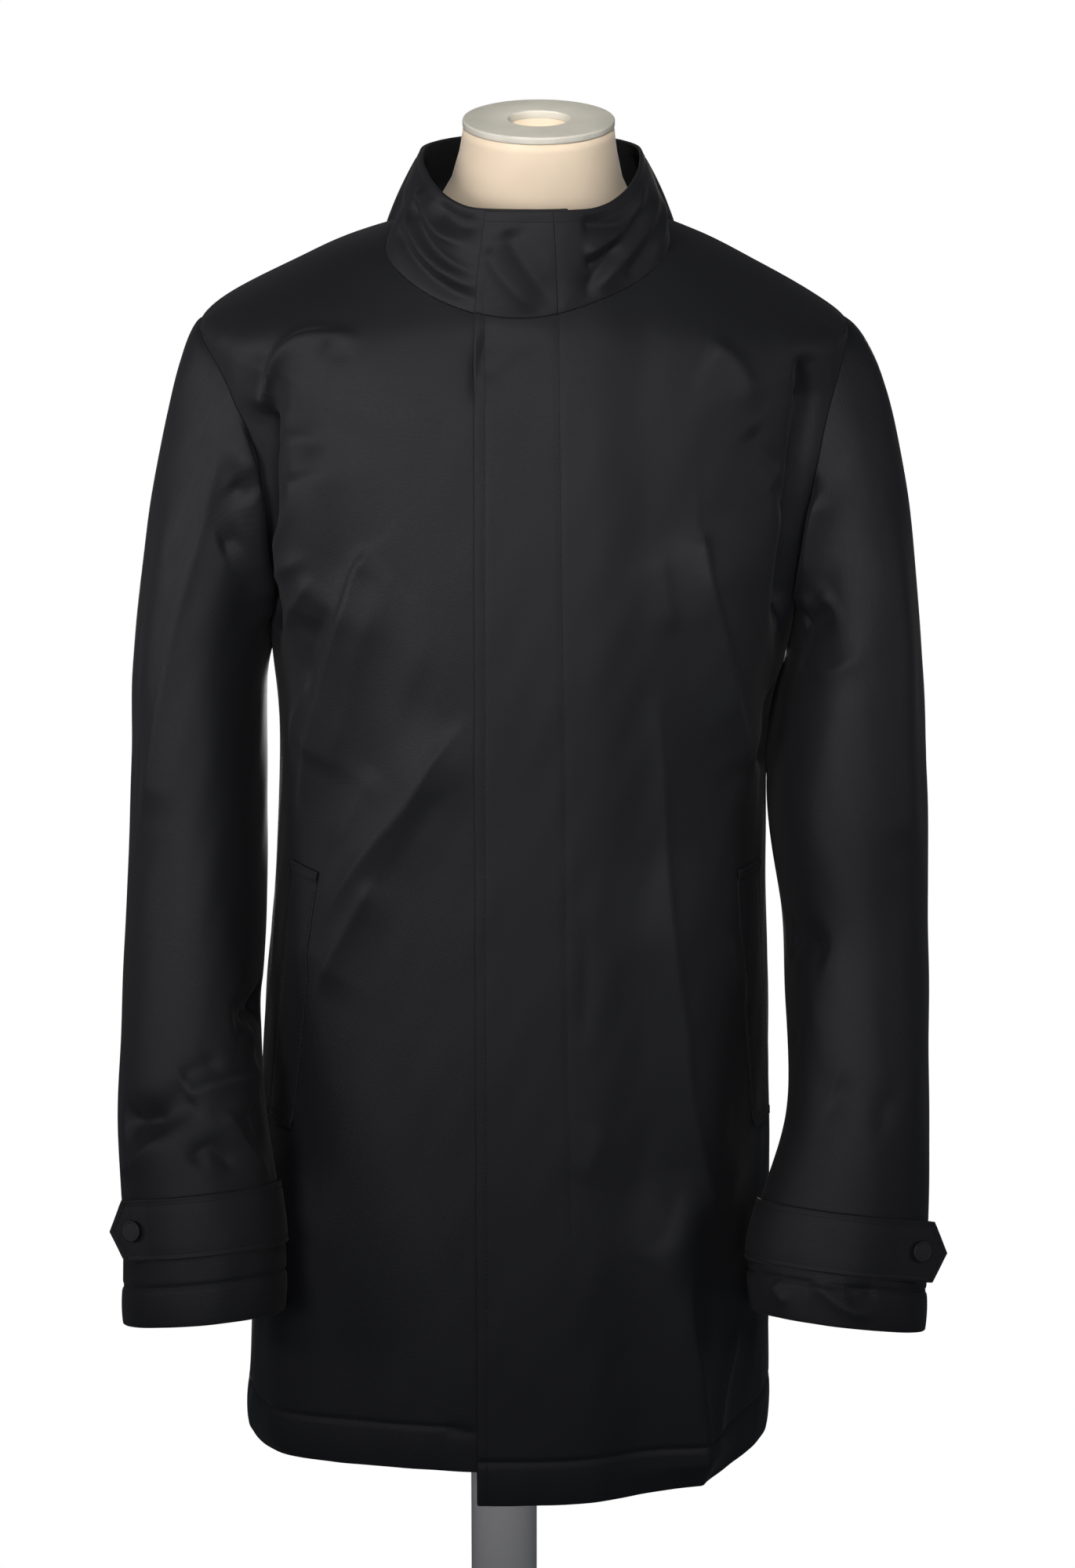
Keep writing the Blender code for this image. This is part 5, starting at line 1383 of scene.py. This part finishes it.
def make_welt(welt, cloth, thread):
    """A pocket welt laid on its front, stitched all round."""
    down = np.linspace(1.0, 0.0, WELT_ROWS + 1)[:, None]
    across = np.linspace(0.0, 1.0, WELT_COLUMNS + 1)[None, :]
    inner_edge = welt.high_inner + (welt.low_inner - welt.high_inner) * down
    outer_edge = welt.high_outer + (welt.low_outer - welt.high_outer) * down
    turn = inner_edge + (outer_edge - inner_edge) * across
    height = welt.high + (welt.low - welt.high) * down + 0.0 * turn
    order = slice(None) if welt.side == "left" else slice(None, None, -1)
    base = (body(turn, height) + outward(body, turn, height) * (WELT_GAP + WELT_CLOTH))[:, order]
    edges = [run_along(base, axis, end) for axis in (0, 1) for end in (False, True)]
    nearest = np.minimum.reduce(edges)
    from_end = np.minimum(edges[0], edges[1])
    relief = sewn_line(nearest - WELT_STITCH, height[:, order])
    relief = relief + BAR_RISE * ease(BAR_FOOT, BAR_WIDTH, from_end)
    normals = grid_normals(base)
    outer = base + normals * relief[..., None]
    name = f"pocket_welt_{welt.side}"
    lay_cloth(name, outer, WELT_CLOTH, cloth)
    lines = [crossing(outer, normals, field, WELT_STITCH) for field in edges[2:]]
    lines += [crossing_columns(outer, normals, field, WELT_STITCH) for field in edges[:2]]
    sew(f"stitches_welt_{welt.side}", lines, thread)


def make_sleeve(side, cloth, thread, cap_finish):
    """A sleeve with its cuff tab and the tab's button."""
    word = SIDE_WORDS[side]
    rings = SLEEVES[side]
    cuff = rings[CUFF_ROW].height
    heights = np.concatenate([
        np.linspace(rings[-1].height, cuff + CUFF_ZONE, SLEEVE_ROWS + 1)[1:],
        np.linspace(cuff + CUFF_ZONE, cuff, CUFF_ROWS + 1)[1:],
    ])
    levels = np.concatenate([np.linspace(0.0, 1.0, CAP_ROWS + 1), sleeve_level(side, heights)])
    angles = np.linspace(0.0, 2 * math.pi, SLEEVE_COLUMNS, endpoint=False)
    angle, level = np.meshgrid(angles, levels)
    outer = sleeve_outer(side, angle, level)
    order = slice(None, None, -side)
    outer = outer[::-1, order]
    normals = grid_normals(outer, True)
    outer = outer + normals * seam_dip(run_along(outer, 0, True))[..., None]
    name = f"sleeve_{word}"
    lay_cloth(name, outer, CLOTH, cloth, closed=True, sewn=("top",))
    above = ((2 - level) * (rings[-1].height - cuff))[::-1, order]
    points, ways = crossing_columns(outer, normals, above, CUFF_BAND)
    ring = np.concatenate([points, points[:1]]), np.concatenate([ways, ways[:1]])
    sew(f"stitches_sleeve_{word}", [ring], thread)
    make_tab(side, word, cloth, thread, cap_finish)


def make_tab(side, word, cloth, thread, cap_finish):
    """A pointed tab round the front of the cuff; its free end goes straight on off the sleeve."""
    rings = SLEEVES[side]
    low, high = sleeve_level(side, np.array([rings[TAB_LOW_ROW].height, rings[TAB_HIGH_ROW].height]))
    rows = np.linspace(low, high, TAB_ROWS + 1)
    on_sleeve = np.radians(np.linspace(TAB_FIRST, TAB_LAST, TAB_COLUMNS + 1))
    angle, level = np.meshgrid(on_sleeve, rows)
    seat = sleeve_outer(side, angle, level)
    before = sleeve_outer(side, np.full((TAB_ROWS + 1, 1), math.radians(TAB_BEFORE_LAST)), rows[:, None])
    normal = grid_normals(seat) * side
    top = seat + normal * (LAID_GAP + LAID_CLOTH)
    way = unit(seat[:, -1] - before[:, 0])
    off = unit(normal[:, -1] - way * np.sum(normal[:, -1] * way, axis=-1, keepdims=True))
    point = 1 - np.abs(np.linspace(-1.0, 1.0, TAB_ROWS + 1))
    reaches = TAB_REACH[side] + TAB_POINT * point
    shares = np.linspace(0.0, 1.0, TAB_FREE_COLUMNS + 1)[1:]
    free = top[:, -1:] + way[:, None] * (reaches[:, None] * shares)[..., None]
    grid = np.concatenate([top, free], axis=1)
    order = slice(None, None, side)
    grid = grid[:, order]
    edges = [run_along(grid, axis, end) for axis in (0, 1) for end in (False, True)]
    tip = edges[3] if side > 0 else edges[2]
    nearest = np.minimum.reduce([edges[0], edges[1], tip])
    normals = grid_normals(grid)
    grid = grid + normals * sewn_line(nearest - TAB_STITCH, run_along(grid, 1))[..., None]
    lay_cloth(f"cuff_tab_{word}", grid, LAID_CLOTH, cloth)
    lines = [crossing_columns(grid, normals, field, TAB_STITCH) for field in edges[:2]]
    lines.append(crossing(grid, normals, tip, TAB_STITCH))
    sew(f"stitches_tab_{word}", lines, thread)
    middle_row = TAB_ROWS // 2
    centre = top[middle_row, -1] + way[middle_row] * BUTTON_ALONG[side] + off[middle_row] * LAID_GAP
    make_button(word, centre, off[middle_row], cap_finish)


def make_button(word, centre, normal, cap_finish):
    """A snap cap with a rolled rim and a shallow dished middle."""
    corners = np.array(BUTTON_PROFILE) * (BUTTON_RADIUS, BUTTON_HEIGHT)
    place = Matrix.Translation(centre) @ Vector(normal).to_track_quat("Z", "Y").to_matrix().to_4x4()
    profile = rounded_profile(corners, BUTTON_ROUNDING)
    piece = lathe(f"cuff_button_{word}_cap", profile, cap_finish, place)
    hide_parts(f"cuff_button_{word}")


def form_sections():
    """The form's sections; those of the shoulders are the coat's, let down below its cloth."""
    rest = []
    for height in SHOULDER_REST:
        centre_x, half_width, front_y, side_y, back_y, squareness = columns_at(BODY, np.array([height]))
        front = side_y - REST_DEPTH * (side_y - front_y)
        back = side_y + REST_DEPTH * (back_y - side_y)
        inset = REST_TIP_INSET * ease(SHOULDER_REST[0] + REST_TIP_SPAN, SHOULDER_REST[0], height)
        values = (centre_x, half_width - inset, front, side_y, back, squareness)
        rest.append(Section(height - REST_DROP, *[float(value[0]) for value in values]))
    return FORM + tuple(rest) + NECK


def make_form(jersey, cap_finish):
    """The limbless torso with its neck and the cap on it."""
    sections = form_sections()
    turn = np.linspace(0.0, 4.0, FORM_COLUMNS, endpoint=False)[None, :]
    low, high = sections[0].height, sections[-1].height
    height = np.linspace(low, high, FORM_ROWS + 1)[:, None] + 0.0 * turn
    rows = np.array(sections)
    columns = [np.interp(height, rows[:, 0], rows[:, column]) for column in range(1, rows.shape[1])]
    grid = ring_points(columns, turn + 0.0 * height, height)
    tip = ease(NECK_TILT_FROM, high, height)
    grid[..., 2] += math.tan(math.radians(NECK_TILT)) * tip * grid[..., 1]
    top = Vector((sections[-1].centre_x, 0.0, high))
    tilt = Matrix.Translation(top) @ Matrix.Rotation(math.radians(NECK_TILT), 4, "X")
    around = np.radians(90.0 * turn[0])
    socket = []
    for depth in (0.0, -SOCKET_DEPTH):
        across, ahead = CAP_HOLE * np.sin(around), CAP_HOLE * np.cos(around)
        ring = np.stack([across, -ahead, depth + 0.0 * around], axis=-1)
        socket.append(ring @ np.array(tilt.to_3x3()).T + np.array(top))
    floor = np.tile(socket[1].mean(axis=0), (FORM_COLUMNS, 1))
    under = np.tile(grid[0].mean(axis=0), (FORM_COLUMNS, 1))
    grid = np.concatenate([under[None], grid, socket[0][None], socket[1][None], floor[None]])
    faces = grid_quads(0, grid.shape[0], FORM_COLUMNS, True).tolist()
    form = add_piece("dress_form_jersey", grid.reshape(-1, 3), faces, jersey)
    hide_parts("dress_form")
    corners = (
        (CAP_HOLE, REST_GAP),
        (CAP_HOLE, CAP_THICKNESS),
        (CAP_RADIUS, CAP_THICKNESS),
        (CAP_RADIUS, REST_GAP),
        (CAP_HOLE, REST_GAP),
    )
    cap = lathe("neck_cap_disc", rounded_profile(corners, CAP_ROUNDING), cap_finish, tilt)
    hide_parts("neck_cap")


def make_stand(paint):
    """The column under the form and its round foot."""
    base = (
        (0.0, BASE_RISE),
        (BASE_HUB, BASE_RISE),
        (BASE_HUB + BASE_ROUNDING, BASE_RISE - BASE_ROUNDING),
        (BASE_RADIUS - BASE_ROUNDING, BASE_EDGE),
        (BASE_RADIUS, BASE_EDGE - BASE_ROUNDING),
        (BASE_RADIUS, 0.0),
        (0.0, 0.0),
    )
    foot = lathe("stand_foot", rounded_profile(base, BASE_ROUNDING), paint)
    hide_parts("stand_base")
    low = BASE_RISE + REST_GAP
    high = FORM[0].height - REST_GAP
    column = ((0.0, high), (COLUMN_RADIUS, high), (COLUMN_RADIUS, low), (0.0, low))
    pole = lathe("stand_pole", rounded_profile(column, COLUMN_ROUNDING), paint)
    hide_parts("stand_column")


def make_floor():
    """A plain round floor under the stand."""
    points = [(0.0, 0.0, -FLOOR_DROP)]
    for step in range(FLOOR_STEPS):
        angle = 2 * math.pi * step / FLOOR_STEPS
        points.append((FLOOR_RADIUS * math.cos(angle), FLOOR_RADIUS * math.sin(angle), -FLOOR_DROP))
    faces = [(0, 1 + step, 1 + (step + 1) % FLOOR_STEPS) for step in range(FLOOR_STEPS)]
    mesh = bpy.data.meshes.new("floor")
    mesh.from_pydata(points, [], faces)
    mesh.materials.append(floor_material())
    floor = bpy.data.objects.new("floor", mesh)
    bpy.context.scene.collection.objects.link(floor)


def area_light(lamp):
    """A square soft box that looks at its target."""
    light = bpy.data.lights.new(lamp.name, "AREA")
    light.shape = "SQUARE"
    light.size = lamp.size
    light.spread = math.radians(lamp.spread)
    light.energy = lamp.power
    light.color = lamp.colour
    box = bpy.data.objects.new(lamp.name, light)
    box.location = lamp.place
    box.rotation_euler = (Vector(lamp.target) - Vector(lamp.place)).to_track_quat("-Z", "Y").to_euler()
    bpy.context.scene.collection.objects.link(box)


def make_light():
    """Soft boxes round the coat, and a surround that shows white and lights it only a little."""
    for lamp in LAMPS:
        area_light(lamp)
    world = bpy.data.worlds.new("surround")
    bpy.context.scene.world = world
    world.use_nodes = True
    nodes, links = world.node_tree.nodes, world.node_tree.links
    dim = nodes["Background"]
    dim.inputs["Color"].default_value = (*SURROUND_COLOUR, 1.0)
    dim.inputs["Strength"].default_value = SURROUND_STRENGTH
    white = nodes.new("ShaderNodeBackground")
    white.inputs["Color"].default_value = (*BACKDROP_COLOUR, 1.0)
    white.inputs["Strength"].default_value = BACKDROP_STRENGTH
    path = nodes.new("ShaderNodeLightPath")
    mix = nodes.new("ShaderNodeMixShader")
    links.new(path.outputs["Is Camera Ray"], mix.inputs["Fac"])
    links.new(dim.outputs["Background"], mix.inputs[1])
    links.new(white.outputs["Background"], mix.inputs[2])
    links.new(mix.outputs["Shader"], nodes["World Output"].inputs["Surface"])


def make_camera():
    """The photograph's view."""
    data = bpy.data.cameras.new("camera")
    data.sensor_fit = "VERTICAL"
    data.sensor_height = SENSOR_HEIGHT
    data.lens = FOCAL_PIXELS * SENSOR_HEIGHT / PICTURE_HEIGHT
    camera = bpy.data.objects.new("camera", data)
    camera.location = CAMERA_PLACE
    camera.rotation_euler = (math.radians(90 - CAMERA_DOWN), 0.0, 0.0)
    bpy.context.scene.collection.objects.link(camera)
    bpy.context.scene.camera = camera


make_camera()
cloth = cloth_material()
thread = toned_material(THREAD)[0].material
snap = grained_material(SNAP, SNAP_GRAIN).material
make_panels(cloth, thread)
for side in (1, -1):
    make_sleeve(side, cloth, thread, snap)
for welt in WELTS:
    make_welt(welt, cloth, thread)
make_form(jersey_material(), cap_material())
make_stand(grained_material(PAINT, PAINT_GRAIN).material)
make_floor()
make_light()
bpy.context.scene.view_settings.view_transform = "Standard"
